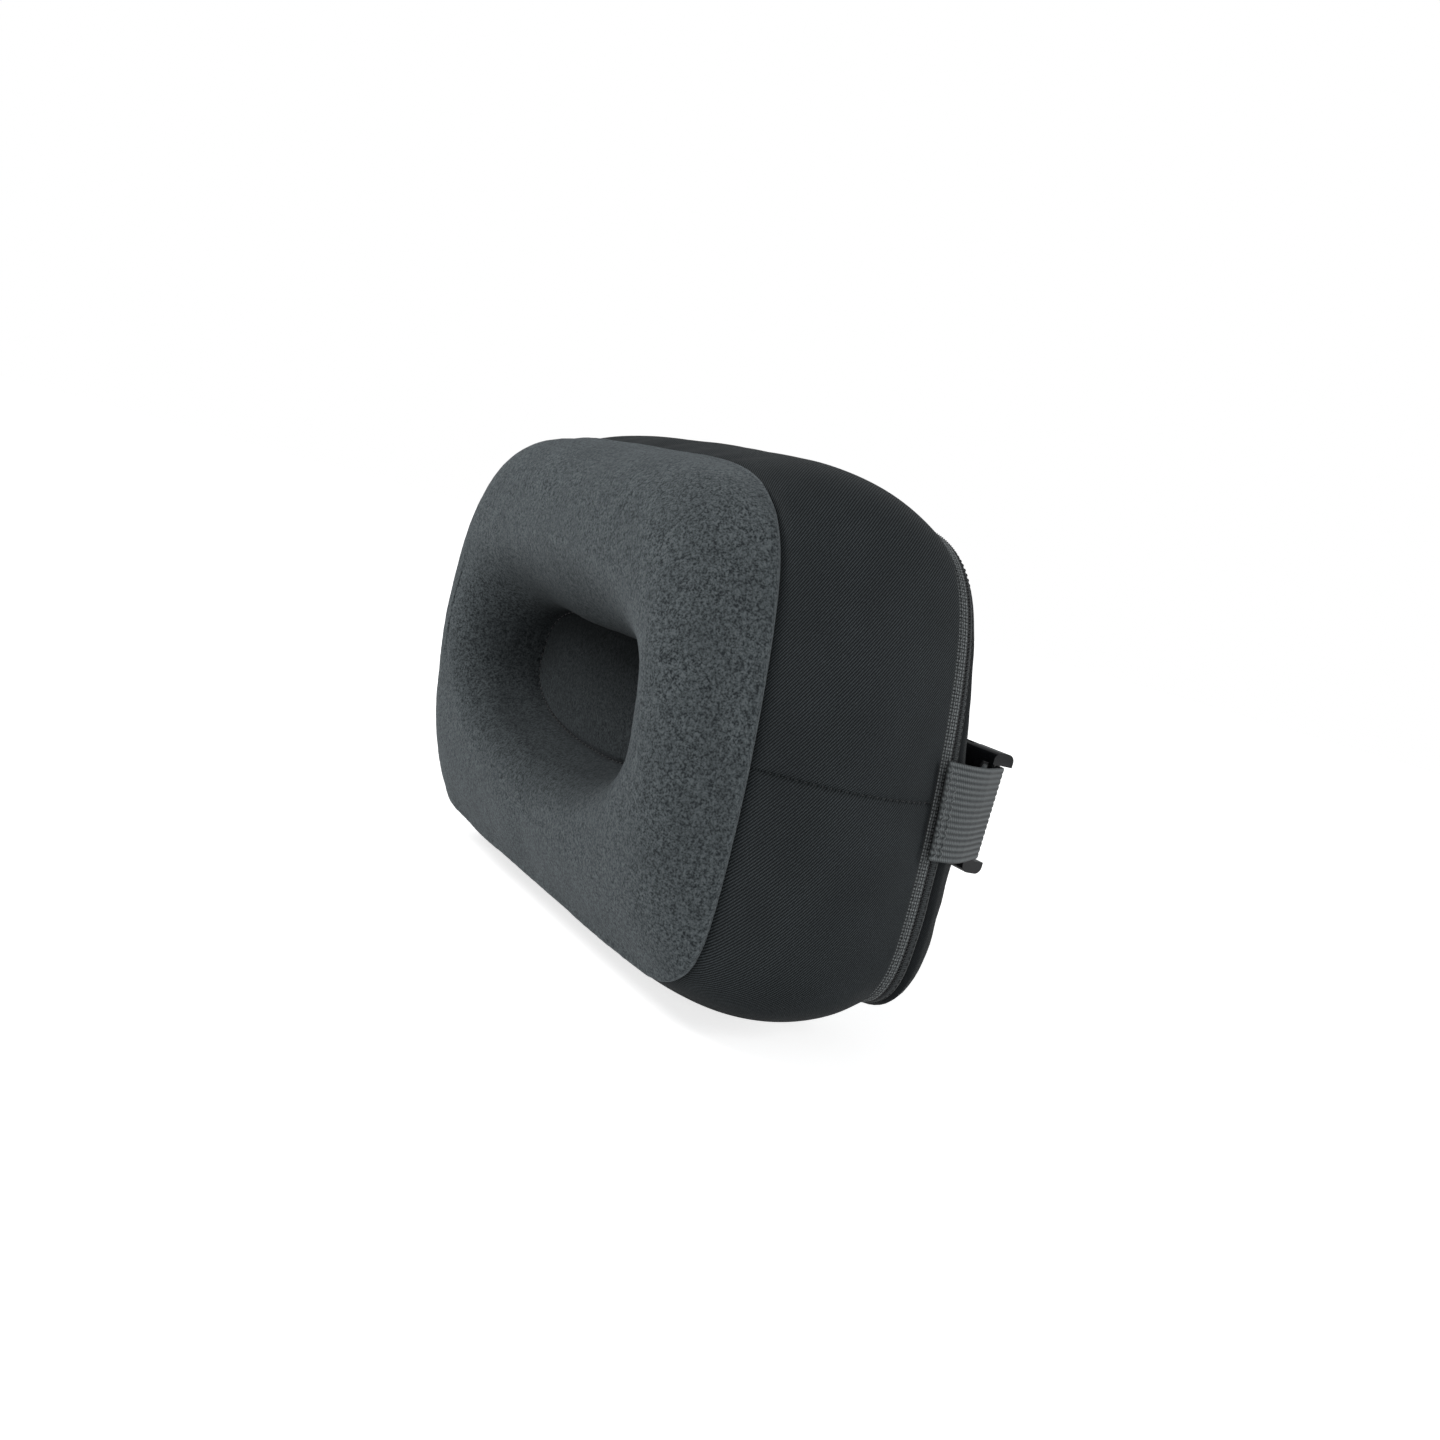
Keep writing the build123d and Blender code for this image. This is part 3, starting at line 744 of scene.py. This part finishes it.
def metal_finish():
    """Black lacquer over die-cast zinc, thin on the wear points."""
    shader = Shader("zip_metal", (0.012, 0.012, 0.014), 0.28, metallic=0.5, coat_weight=0.4)
    where = shader.place()
    wear = shader.stretch(shader.noise(where, 1.3 * MM, 4), 0.62, 0.75, 0, 0.35)
    shader.color(shader.mix(wear, (0.012, 0.012, 0.014), (0.16, 0.15, 0.14)))
    shader.bump(shader.noise(where, 0.5 * MM), 0.1 * MM, 0.3)
    return shader.material


def thread_finish(name, color):
    """Twisted sewing thread."""
    shader = Shader(name, color, 0.55, sheen_weight=0.2)
    where = shader.place()
    x, y, z = shader.axes(where)
    twist = shader.wave(shader.plus(shader.plus(x, y), z), 0.35 * MM)
    shader.color(shader.mix(twist, tuple(0.5 * c for c in color), tuple(1.3 * c for c in color)))
    shader.bump(twist, 0.08 * MM, 0.6)
    return shader.material


def foam_finish():
    """Open-cell polyurethane foam."""
    shader = Shader("foam", (0.72, 0.66, 0.46), 0.9)
    cells = shader.node("TexVoronoi")
    cells.inputs["Scale"].default_value = 1 / (0.9 * MM)
    shader.link(shader.place(), cells.inputs["Vector"])
    shader.color(shader.mix(cells.outputs["Distance"], (0.5, 0.45, 0.3), (0.78, 0.72, 0.52)))
    shader.bump(cells.outputs["Distance"], 0.4 * MM, 0.7)
    return shader.material


def liner_finish():
    """Thin white jersey: columns of small knitted loops."""
    shader = Shader("liner", (0.6, 0.6, 0.58), 0.85, sheen_weight=0.2)
    along, across, _ = shader.axes(shader.place("UV"))
    loops = shader.times(shader.wave(along, 1.1 * MM), shader.wave(across, 0.9 * MM))
    shader.color(shader.mix(loops, (0.45, 0.45, 0.44), (0.66, 0.66, 0.64)))
    shader.bump(loops, 0.2 * MM, 0.7)
    return shader.material


VELOUR = velour_finish("velour", False)
# The recess floor's copy of the velour carries more painted shade than the rim's copy.
VELOUR_FLOOR_SHADED = velour_finish("velour_floor_painted_shade", True)
SIDE_CLOTH = twill_finish("side_cloth", (0.0035, 0.005, 0.0058), (0.068, 0.08, 0.086), 1.3 * MM, 0.05)
REAR_CLOTH = twill_finish("rear_cloth", (0.006, 0.0075, 0.0085), (0.022, 0.027, 0.03), 0.8 * MM, 0.1)
TAPE_SPECKLED = tape_finish("zip_tape_speckled", (0.006, 0.0075, 0.0085), (0.26, 0.28, 0.285), 1.15 * MM)
TAPE_RIBBED = tape_finish("zip_tape_ribbed", (0.012, 0.015, 0.016), (0.08, 0.09, 0.095), 0.7 * MM)
CHAIN = plastic_finish("zip_chain", (0.005, 0.005, 0.006), 0.45)
METAL = metal_finish()
WEBBING = webbing_finish()
BUCKLE = plastic_finish("buckle", (0.006, 0.0065, 0.0075), 0.16)
THREAD_DARK = thread_finish("thread_dark", (0.012, 0.014, 0.016))
THREAD_GREY = thread_finish("thread_grey", (0.16, 0.175, 0.18))
FOAM = foam_finish()
LINER = liner_finish()


# ---- cushion pieces ----
PILE_STEP = 0.85 * MM
CLOTH_STEP = 1.1 * MM
PILE_THICK, CLOTH_THICK, TAPE_THICK = 2.2 * MM, 1.4 * MM, 1.0 * MM
STITCH_PITCH = 2.9 * MM                                  # along the side seams
SEAM_DIP, FLOOR_DIP, SIDE_DIP = 1.4 * MM, 1.3 * MM, 0.9 * MM
BAND_DIP, TAPE_DIP, ZIP_DIP = 0.7 * MM, 0.35 * MM, 1.3 * MM


def cloth(name, node, grid, normal, lift, thickness, closed, finish, slot, caps=(False, False)):
    """A sheet whose outer side is the grid moved out by lift, in place of the CAD node."""
    outer = grid + normal * lift[:, :, None]
    piece = shell(name, outer, outer - normal * thickness, closed, caps, finish=finish, slot=slot)
    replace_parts(piece, node)


def front_cover():
    """Velour rim: the pile rolls a little over both of its seams."""
    grid, normal = refine_both(FIELD[ROW["floor"]:ROW["seam"] + 1], PILE_STEP, True)
    foot, seam = edge_distances(grid)
    lift = dip(seam - 2.6 * MM, 0.8 * MM, 2.0 * MM) - dip(seam, SEAM_DIP, 1.0 * MM)
    lift -= dip(foot, FLOOR_DIP, 1.2 * MM)
    rough = 0.4 * MM * fine_noise(grid, 26 * MM, 1) + 0.14 * MM * fine_noise(grid, 5 * MM, 2)
    rough += 0.08 * MM * fine_noise(grid, 1.3 * MM, 3)
    lift += rough * (1 - dip(seam, 1, 1.0 * MM) - dip(foot, 1, 1.2 * MM))
    names = ("front_cover_velour", "front_cover")
    cloth(*names, grid, normal, lift, PILE_THICK, True, VELOUR, "velour")


def recess_patch():
    grid, normal = refine_both(FIELD[:ROW["floor"] + 1], PILE_STEP, True)
    edge = edge_distances(grid)[1]
    lift = 0.12 * MM * fine_noise(grid, 1.3 * MM, 4) * (1 - dip(edge, 1, 1.2 * MM))
    lift -= dip(edge, FLOOR_DIP, 1.2 * MM)
    names = ("recess_patch_velour", "recess_patch")
    cloth(*names, grid, normal, lift, PILE_THICK, True, VELOUR_FLOOR_SHADED, "velour", (True, False))


def side_panel(name, columns, node):
    """One woven side panel, drawn in along all its seams."""
    rows = slice(ROW["seam"], ROW["band"] + 1)
    grid, normal = refine_both(FIELD[rows][:, columns], CLOTH_STEP, False)
    front, back = edge_distances(grid)
    low, high = (d.T for d in edge_distances(grid.swapaxes(0, 1)))
    pucker = 0.75 + 0.25 * np.sin(2 * math.pi * front / STITCH_PITCH)
    seams = np.maximum(dip(low, SIDE_DIP, 1.1 * MM), dip(high, SIDE_DIP, 1.1 * MM)) * pucker
    sunk = np.maximum(np.maximum(dip(front, SEAM_DIP, 1.6 * MM), dip(back, BAND_DIP, 1.0 * MM)), seams)
    free = 1 - np.maximum(np.maximum(dip(front, 1, 3 * MM), dip(back, 1, 3 * MM)), seams / SIDE_DIP)
    lift = 0.2 * MM * fine_noise(grid, 30 * MM, 5) * free - sunk
    cloth(name, node, grid, normal, lift, CLOTH_THICK, False, SIDE_CLOTH, "side_cloth")


def rear_panel():
    grid, normal = refine_both(FIELD[ROW["rear"]:], 2.0 * MM, True)
    edge = edge_distances(grid)[0]
    lift = dip(edge - 1.8 * MM, 0.4 * MM, 1.2 * MM) - dip(edge, BAND_DIP, 0.8 * MM)
    crowned = np.clip(-grid[:, :, 1] / (3 * MM), 0, 1)
    lift += crowned * 0.25 * MM * fine_noise(grid, 14 * MM, 6) * (1 - dip(edge, 1, 2 * MM))
    grid = grid.copy()
    grid[:, :, 1] = np.minimum(grid[:, :, 1], 0.0)
    names = ("rear_panel_cloth", "rear_panel")
    cloth(*names, grid, normal, lift, CLOTH_THICK, True, REAR_CLOTH, "rear_cloth", (False, True))


def zip_tape(name, first, last, node, finish):
    """One half of the zip's tape, folded in along the line where the halves meet."""
    grid, normal = refine_both(FIELD[first:last + 1], 0.7 * MM, True)
    near, far = edge_distances(grid)
    to_zip, to_cloth = (far, near) if last == ROW["zip"] else (near, far)
    fold = dip(to_zip, ZIP_DIP - TAPE_DIP, 0.45 * MM) - dip(to_zip - 0.9 * MM, 0.2 * MM, 0.5 * MM)
    lift = -TAPE_DIP - fold - dip(to_cloth, BAND_DIP - TAPE_DIP, 0.6 * MM)
    cloth(name, node, grid, normal, lift, TAPE_THICK, True, finish, "zip_tape")


def hidden_layer(name, depth, thickness, node, finish, slot):
    """Foam or liner: the cushion's form moved in under the cover."""
    outer = SKIN - NORMAL * depth
    if thickness:
        piece = shell(name, outer, outer - NORMAL * thickness, True, (True, True), finish=finish, slot=slot)
    else:
        piece = closed_form(name, outer, finish=finish, slot=slot)
    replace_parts(piece, node)


# ---- threads and tubes ----
def spaced(path, side, pitch, closed=False):
    """Places, tangents and side vectors every pitch metres along a path."""
    if closed:
        path, side = np.vstack([path, path[:1]]), np.vstack([side, side[:1]])
    length = np.r_[0, np.cumsum(np.linalg.norm(np.diff(path, axis=0), axis=1))]
    count = max(2, round(length[-1] / pitch))
    at = (np.arange(count) + 0.5) * length[-1] / count
    pick = [np.interp(at, length, path[:, k]) for k in range(3)]
    ahead = [np.interp(at + 0.2 * MM, length, path[:, k]) for k in range(3)]
    back = [np.interp(at - 0.2 * MM, length, path[:, k]) for k in range(3)]
    up = np.stack([np.interp(at, length, side[:, k]) for k in range(3)], axis=1)
    tangent = np.stack(ahead, axis=1) - np.stack(back, axis=1)
    tangent /= np.linalg.norm(tangent, axis=1)[:, None]
    return np.stack(pick, axis=1), tangent, up / np.linalg.norm(up, axis=1)[:, None]


def stitch_row(places, tangents, ups, length, radius):
    """Points and faces of a row of stitches: short threads that dive at both ends."""
    sides, stations = 6, 7
    points, faces = [], []
    for place, tangent, up in zip(places, tangents, ups):
        across = np.cross(tangent, up)
        start = len(points)
        for i in range(stations):
            t = i / (stations - 1) * 2 - 1
            middle = place + tangent * t * length / 2 - up * radius * 2.2 * t ** 4
            thick = radius * (0.35 + 0.65 * math.sqrt(max(0.0, 1 - t ** 4)))
            for k in range(sides):
                angle = 2 * math.pi * k / sides
                points.append(middle + (across * math.cos(angle) + up * math.sin(angle)) * thick)
        for i in range(stations - 1):
            for k in range(sides):
                n = (k + 1) % sides
                ring_start, next_start = start + i * sides, start + (i + 1) * sides
                faces.append([ring_start + k, next_start + k, next_start + n, ring_start + n])
        faces.append([start + k for k in range(sides)])
        faces.append([start + (stations - 1) * sides + k for k in reversed(range(sides))])
    return points, faces


def stitches(name, rows, length, radius, finish):
    """One mesh of stitches along several rows of (places, tangents, ups)."""
    points, faces = [], []
    for row in rows:
        more, joined = stitch_row(*row, length, radius)
        faces += [[i + len(points) for i in face] for face in joined]
        points += more
    return link_mesh(name, points, faces, finish=finish, slot="thread")


def surface_row(row, lift):
    """A ring of the cushion moved out by lift, with its outward vectors."""
    return SKIN[row] + NORMAL[row] * lift, NORMAL[row]


def between_rows(share, first, last, lift):
    """A closed path part of the way between two rings."""
    near, up = surface_row(first, lift)
    far = surface_row(last, lift)[0]
    return near + (far - near) * share, up


def zip_chain(name, side, node):
    """Half of the coil: a helix that runs round the rear edge, open at the bottom middle."""
    path, up = surface_row(ROW["zip"], -0.75 * MM)
    clear = (np.abs(path[:, 0]) > 4 * MM) | (path[:, 2] > 0)
    start = int(np.flatnonzero(~clear)[-1]) + 1
    order = (start + np.arange(clear.sum())) % len(path)
    path, up = path[order], up[order]
    places, tangents, ups = spaced(path, up, 1.2 * MM / 12)
    turn = np.arange(len(places)) * 2 * math.pi / 12 + (math.pi if side > 0 else 0)
    across = np.array([0, 1.0, 0])
    swing = np.cos(turn)[:, None] * 0.34 * MM
    centre = places + across * side * 0.28 * MM + across * swing + ups * (np.sin(turn)[:, None] * 0.4 * MM)
    tube(name, centre, ups, 0.17 * MM, 5, CHAIN, "zip_chain", node)


def tube(name, centre, ups, radius, sides, finish, slot, node):
    """A round thread along a line of points."""
    tangent = np.gradient(centre, axis=0)
    tangent /= np.linalg.norm(tangent, axis=1)[:, None]
    across = np.cross(tangent, ups)
    across /= np.maximum(np.linalg.norm(across, axis=1), 1e-9)[:, None]
    up = np.cross(across, tangent)
    angles = 2 * math.pi * np.arange(sides) / sides
    grid = centre[:, None] + radius * (
        across[:, None] * np.cos(angles)[None, :, None] + up[:, None] * np.sin(angles)[None, :, None]
    )
    rows = len(centre)
    faces = quads(rows, sides, True)[0]
    faces.append(list(range(sides))[::-1])
    faces.append([(rows - 1) * sides + k for k in range(sides)])
    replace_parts(link_mesh(name, grid.reshape(-1, 3), faces, finish=finish, slot=slot), node)


def cover_stitching():
    """Thread along the side seams, the recess seam and the zip tape."""
    rows = slice(ROW["seam"] + 2, ROW["band"] - 1)
    seams = [
        spaced(SKIN[rows, column] - NORMAL[rows, column] * 0.75 * MM, NORMAL[rows, column], STITCH_PITCH)
        for column in (RIGHT_SEAM, LEFT_SEAM)
    ]
    stitches("side_seam_stitching", seams, 1.9 * MM, 0.2 * MM, THREAD_DARK)
    path, up = surface_row(ROW["floor"], -0.7 * MM)
    row = spaced(path, up, 3.0 * MM, True)
    stitches("recess_seam_stitching", [row], 2.0 * MM, 0.22 * MM, THREAD_DARK)
    rows = [
        spaced(*between_rows(share, ROW["band"], ROW["zip"], -0.22 * MM), 2.2 * MM, True)
        for share in (0.22, 0.62)
    ]
    stitches("tape_front_stitching", rows, 1.5 * MM, 0.2 * MM, THREAD_GREY)
    row = spaced(*between_rows(0.7, ROW["zip"], ROW["rear"], -0.22 * MM), 2.2 * MM, True)
    stitches("tape_rear_stitching", [row], 1.5 * MM, 0.18 * MM, THREAD_DARK)


# ---- belt ----
RIBS = 16
BUCKLE_Y = 8.6 * MM
BAR_INSET = 4 * MM                                       # buckle's end to its webbing bar
BAR_GAP = 0.2 * MM                                       # bar to webbing
BAR_RADIUS = 1.9 * MM + BAR_GAP + WEB / 2
FEMALE_BAR = (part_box("buckle_female")[1].x - BAR_INSET, BUCKLE_Y)
MALE_BAR = (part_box("buckle_male")[0].x + BAR_INSET, BUCKLE_Y)
ADJUSTER_MIDDLE = (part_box("strap_adjuster")[0].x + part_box("strap_adjuster")[1].x) / 2
ADJUSTER_BAR_Y = 6.3 * MM
HOOK_RADIUS = 1.0 * MM + BAR_GAP + WEB / 2
FLAT_Y = 10 * MM                                         # the long strap along the chair side
SHOULDER, FLAT_START, FLAT_END = (-104 * MM, 7.6 * MM), (-94 * MM, FLAT_Y), (15 * MM, FLAT_Y)
UNDER_START, UNDER_END = (25 * MM, 6.5 * MM), (3.5 * MM, 6.5 * MM)
LOOP_TAIL = [(19.5 * MM, 3.3 * MM), (0, 3.3 * MM), (-16 * MM, 4.3 * MM), (-36 * MM, 4.6 * MM)]
TAIL_IN, TAIL_BACK = 9.2 * MM, 7.6 * MM                  # end of the short strap's tail, from its bend
ROOT_FADE = 20 * MM                                      # the root follows the seam over this length


def touching(centre, radius, outside, side):
    """Angle at which a line from the point outside touches the circle, on the given side."""
    dx, dy = outside[0] - centre[0], outside[1] - centre[1]
    return math.atan2(dy, dx) + side * math.acos(radius / math.hypot(dx, dy))


def arc(centre, radius, start, end, count=16):
    angles = np.linspace(start, end, count)
    return [(centre[0] + radius * math.cos(a), centre[1] + radius * math.sin(a)) for a in angles]


def eased(points, step, rounds):
    """A polyline with its corners cut smooth and resampled every step metres."""
    line = np.array(points, float)
    for _ in range(rounds):
        near, far = line[:-1] * 0.75 + line[1:] * 0.25, line[:-1] * 0.25 + line[1:] * 0.75
        line = np.vstack([line[:1], np.stack([near, far], axis=1).reshape(-1, 2), line[-1:]])
    length = np.r_[0, np.cumsum(np.linalg.norm(np.diff(line, axis=0), axis=1))]
    at = np.linspace(0, length[-1], max(4, round(length[-1] / step)))
    return np.stack([np.interp(at, length, line[:, k]) for k in (0, 1)], axis=1)


def seam_reach(z):
    """How far out the zip seam stands at a height, compared with the belt's middle."""
    low = np.full(len(z), 0.001)
    reach = bisect(lambda x: gauge(x, z, 0) < 1, low, low + 0.2)
    middle = np.full(1, (BELT_LOW + BELT_HIGH) / 2)
    at_middle = bisect(lambda x: gauge(x, middle, 0) < 1, low[:1], low[:1] + 0.2)
    return reach - at_middle


def ribbed_strip(name, line, body, slanted=0.0, trim=0.0):
    """Webbing along a plan line; slanted is the length over which its root follows the seam."""
    along = np.gradient(line, axis=0)
    along /= np.linalg.norm(along, axis=1)[:, None]
    side = np.stack([along[:, 1], -along[:, 0]], axis=1)
    count = RIBS * 6 + 1
    z = np.linspace(BELT_LOW + trim, BELT_HIGH - trim, count)
    rib = np.abs(np.sin(math.pi * RIBS * np.arange(count) / (count - 1)))
    length = np.r_[0, np.cumsum(np.linalg.norm(np.diff(line, axis=0), axis=1))]
    turn = 2 * math.pi * length[:, None] / (1.7 * MM) + math.pi * (np.arange(count) // 6)
    pick = 0.5 + 0.5 * np.sin(turn)
    half = WEB / 2 * (0.62 + 0.34 * rib[None, :] ** 0.6 + 0.05 * pick)
    fade = np.clip(1 - length / slanted, 0, 1) if slanted else np.zeros(len(line))
    lean = fade[:, None] * (seam_reach(z)[None, :] if slanted else 0.0) * np.sign(line[0, 0])
    outer, inner = np.zeros((len(line), count, 3)), np.zeros((len(line), count, 3))
    for grid, sign in ((outer, 1), (inner, -1)):
        grid[:, :, 0] = line[:, :1] + sign * side[:, :1] * half + lean
        grid[:, :, 1] = line[:, 1:] + sign * side[:, 1:] * half
        grid[:, :, 2] = z[None, :]
    piece = shell(name, outer, inner, False, body=body, finish=WEBBING, slot="webbing")
    flip_uv(piece)
    return piece


def flip_uv(piece):
    """Webbing's grain runs along its rows, so u and v change places."""
    layer = piece.data.uv_layers["cloth"].data
    values = np.zeros(len(layer) * 2)
    layer.foreach_get("uv", values)
    layer.foreach_set("uv", values.reshape(-1, 2)[:, ::-1].ravel())


def short_strap():
    centre, root_x = FEMALE_BAR, SHORT_STRAP[1].x - WEB / 2
    bend = (root_x, BEND_Y)
    tail = (bend[0] - TAIL_IN, bend[1] + TAIL_BACK)
    out_turn = touching(centre, BAR_RADIUS, bend, 1)
    in_turn = touching(centre, BAR_RADIUS, tail, -1)
    if in_turn < out_turn:
        in_turn += 2 * math.pi
    line = [(root_x, ROOT_Y), bend] + arc(centre, BAR_RADIUS, out_turn, in_turn) + [tail]
    path = eased(line, 0.5 * MM, 2)
    piece = ribbed_strip("short_strap_webbing", path, "cushion", slanted=ROOT_FADE)
    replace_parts(piece, "short_strap")


def long_strap():
    root_x = LONG_STRAP[0].x + WEB / 2
    start_turn = touching(MALE_BAR, BAR_RADIUS, FLAT_END, -1)
    loop = arc(MALE_BAR, BAR_RADIUS, start_turn, -math.pi / 2, 20)
    back = [UNDER_START, UNDER_END]
    line = [(root_x, ROOT_Y), (root_x, BEND_Y), SHOULDER, FLAT_START, FLAT_END]
    path = eased(line + loop + back, 0.8 * MM, 2)
    piece = ribbed_strip("long_strap_webbing", path, "cushion", slanted=ROOT_FADE)
    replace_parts(piece, "long_strap")
    piece.parent = None
    del piece["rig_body"]
    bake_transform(piece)
    hook = (ADJUSTER_MIDDLE, ADJUSTER_BAR_Y)
    curl = arc(hook, HOOK_RADIUS, -math.pi / 2, -math.pi * 1.4, 16)
    ribbed_strip("adjuster_loop_webbing", eased(LOOP_TAIL + curl, 0.6 * MM, 1), "adjuster", trim=0.4 * MM)


def root_stitching(name, side, node):
    """Zigzag thread that sews the webbing to the rear seam."""
    z = np.linspace(BELT_LOW + 1.2 * MM, BELT_HIGH - 1.2 * MM, 40)
    shift = seam_reach(z)
    x = SHORT_STRAP[1].x + 0.1 * MM
    rows = []
    for column, y in enumerate((ROOT_Y + 1.1 * MM, ROOT_Y + 3.6 * MM)):
        path = np.stack([side * (x + shift), np.full(40, y), z], axis=1)
        up = np.tile([side * 1.0, 0, 0], (40, 1))
        places, tangents, ups = spaced(path, up, 1.5 * MM)
        tilt = np.where(np.arange(len(places)) % 2 == 0, 1, -1)[:, None] * np.array([0, 0.85, 0])
        tangents = tangents + tilt
        tangents /= np.linalg.norm(tangents, axis=1)[:, None]
        rows.append((places, tangents, ups))
    piece = stitches(name, rows, 1.9 * MM, 0.24 * MM, THREAD_GREY)
    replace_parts(piece, node)


# ---- hardware that keeps its CAD shape ----
def finish_hardware(node, finish, bevel):
    """Rounds the edges of a moulded or cast CAD node and gives it its material."""
    item = frame["nodes"][node]
    item.data.materials.clear()
    item.data.materials.append(finish)
    weld = item.modifiers.new("weld", "WELD")
    weld.merge_threshold = 0.005 * MM
    soften = item.modifiers.new("soften", "BEVEL")
    soften.width = bevel
    soften.segments = 3
    soften.limit_method = "ANGLE"
    soften.angle_limit = math.radians(40)
    item.modifiers.new("shade", "WEIGHTED_NORMAL").keep_sharp = False
    item.data.shade_smooth()


# ---- build ----
front_cover()
recess_patch()
side_panel("upper_side_panel_cloth", UPPER, "upper_side_panel")
side_panel("lower_side_panel_cloth", LOWER, "lower_side_panel")
zip_tape("zip_tape_front_woven", ROW["band"], ROW["zip"], "zip_tape_front", TAPE_SPECKLED)
zip_tape("zip_tape_rear_woven", ROW["zip"], ROW["rear"], "zip_tape_rear", TAPE_RIBBED)
zip_chain("zip_coil_front", -1, "zip_chain_front")
zip_chain("zip_coil_rear", 1, "zip_chain_rear")
rear_panel()
hidden_layer("foam_core_moulding", 5.0 * MM, 0, "foam_core", FOAM, "foam")
hidden_layer("inner_liner_jersey", 3.3 * MM, 0.7 * MM, "inner_liner", LINER, "liner")
cover_stitching()
short_strap()
long_strap()
root_stitching("short_strap_zigzag", 1, "short_strap_stitching")
root_stitching("long_strap_zigzag", -1, "long_strap_stitching")
finish_hardware("buckle_female", BUCKLE, 0.8 * MM)
for part in ("buckle_male", "upper_prong", "lower_prong", "strap_adjuster"):
    finish_hardware(part, BUCKLE, 0.45 * MM)
for part in ("zip_slider", "zip_pull", "zip_stop_start", "zip_stop_end"):
    finish_hardware(part, METAL, 0.2 * MM)


# ---- floor, light and camera ----
AMBIENT = 0.2
FLOOR_GLOW = 0.75


def seen_only(tree, shown, lighting):
    """Mixes two shaders: the first for what the camera sees, the second for everything else."""
    path, mix = tree.nodes.new("ShaderNodeLightPath"), tree.nodes.new("ShaderNodeMixShader")
    tree.links.new(path.outputs["Is Camera Ray"], mix.inputs[0])
    tree.links.new(lighting, mix.inputs[1])
    tree.links.new(shown, mix.inputs[2])
    return mix.outputs[0]


def plain_floor():
    """A pale floor that is lifted to studio white, apart from the soft shadow under the pillow."""
    floor = link_mesh("floor", [(-9, -9, 0), (9, -9, 0), (9, 9, 0), (-9, 9, 0)], [[0, 1, 2, 3]], body=None)
    floor.location.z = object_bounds()[0].z - 0.5 * MM
    white = Shader("studio_floor", (0.9, 0.9, 0.9), 0.9)
    glow, total = white.node("Emission"), white.node("AddShader")
    reach = white.node("VectorMath", operation="LENGTH")
    white.link(white.place(), reach.inputs[0])
    white.link(white.stretch(reach.outputs["Value"], 0.2, 0.6, FLOOR_GLOW, 1.05), glow.inputs["Strength"])
    white.link(white.surface.outputs[0], total.inputs[0])
    white.link(glow.outputs[0], total.inputs[1])
    seen = seen_only(white.tree, total.outputs[0], white.surface.outputs[0])
    white.link(seen, white.tree.nodes["Material Output"].inputs["Surface"])
    floor.data.materials.append(white.material)


def area_light(name, place, size, power):
    lamp = bpy.data.lights.new(name, "AREA")
    lamp.shape = "RECTANGLE"
    lamp.size, lamp.size_y = size
    lamp.energy = power
    item = bpy.data.objects.new(name, lamp)
    item.location = place
    item.rotation_euler = (Vector((0, -0.05, 0)) - Vector(place)).to_track_quat("-Z", "Y").to_euler()
    bpy.context.scene.collection.objects.link(item)


def studio_light():
    world = bpy.data.worlds.new("studio")
    bpy.context.scene.world = world
    world.use_nodes = True
    tree = world.node_tree
    backdrop = tree.nodes["Background"]
    backdrop.inputs["Color"].default_value = (1, 1, 1, 1)
    ambient = tree.nodes.new("ShaderNodeBackground")
    ambient.inputs["Color"].default_value = (0.95, 0.98, 1, 1)
    ambient.inputs["Strength"].default_value = AMBIENT
    seen = seen_only(tree, backdrop.outputs[0], ambient.outputs[0])
    tree.links.new(seen, tree.nodes["World Output"].inputs["Surface"])
    area_light("key", (-0.35, -1.0, 0.95), (0.6, 0.6), 9)
    area_light("fill", (1.3, -0.6, 0.0), (0.6, 0.8), 8)
    area_light("edge", (0.75, 0.9, 0.5), (0.4, 0.6), 4)


def camera():
    lens = bpy.data.cameras.new("camera")
    lens.sensor_width = 36
    lens.lens = 37.5
    lens.clip_start = 0.01
    item = bpy.data.objects.new("camera", lens)
    back = Vector((0.854, -0.509, 0.108)).normalized()
    up = Vector((-0.228, -0.178, 0.957))
    right = up.cross(back).normalized()
    up = back.cross(right)
    turn = Matrix((right, up, back)).transposed().to_4x4()
    item.matrix_world = Matrix.Translation((0.4874, -0.3288, 0.0534)) @ turn
    bpy.context.scene.collection.objects.link(item)
    bpy.context.scene.camera = item


plain_floor()
studio_light()
camera()
bpy.context.scene.view_settings.view_transform = "Standard"
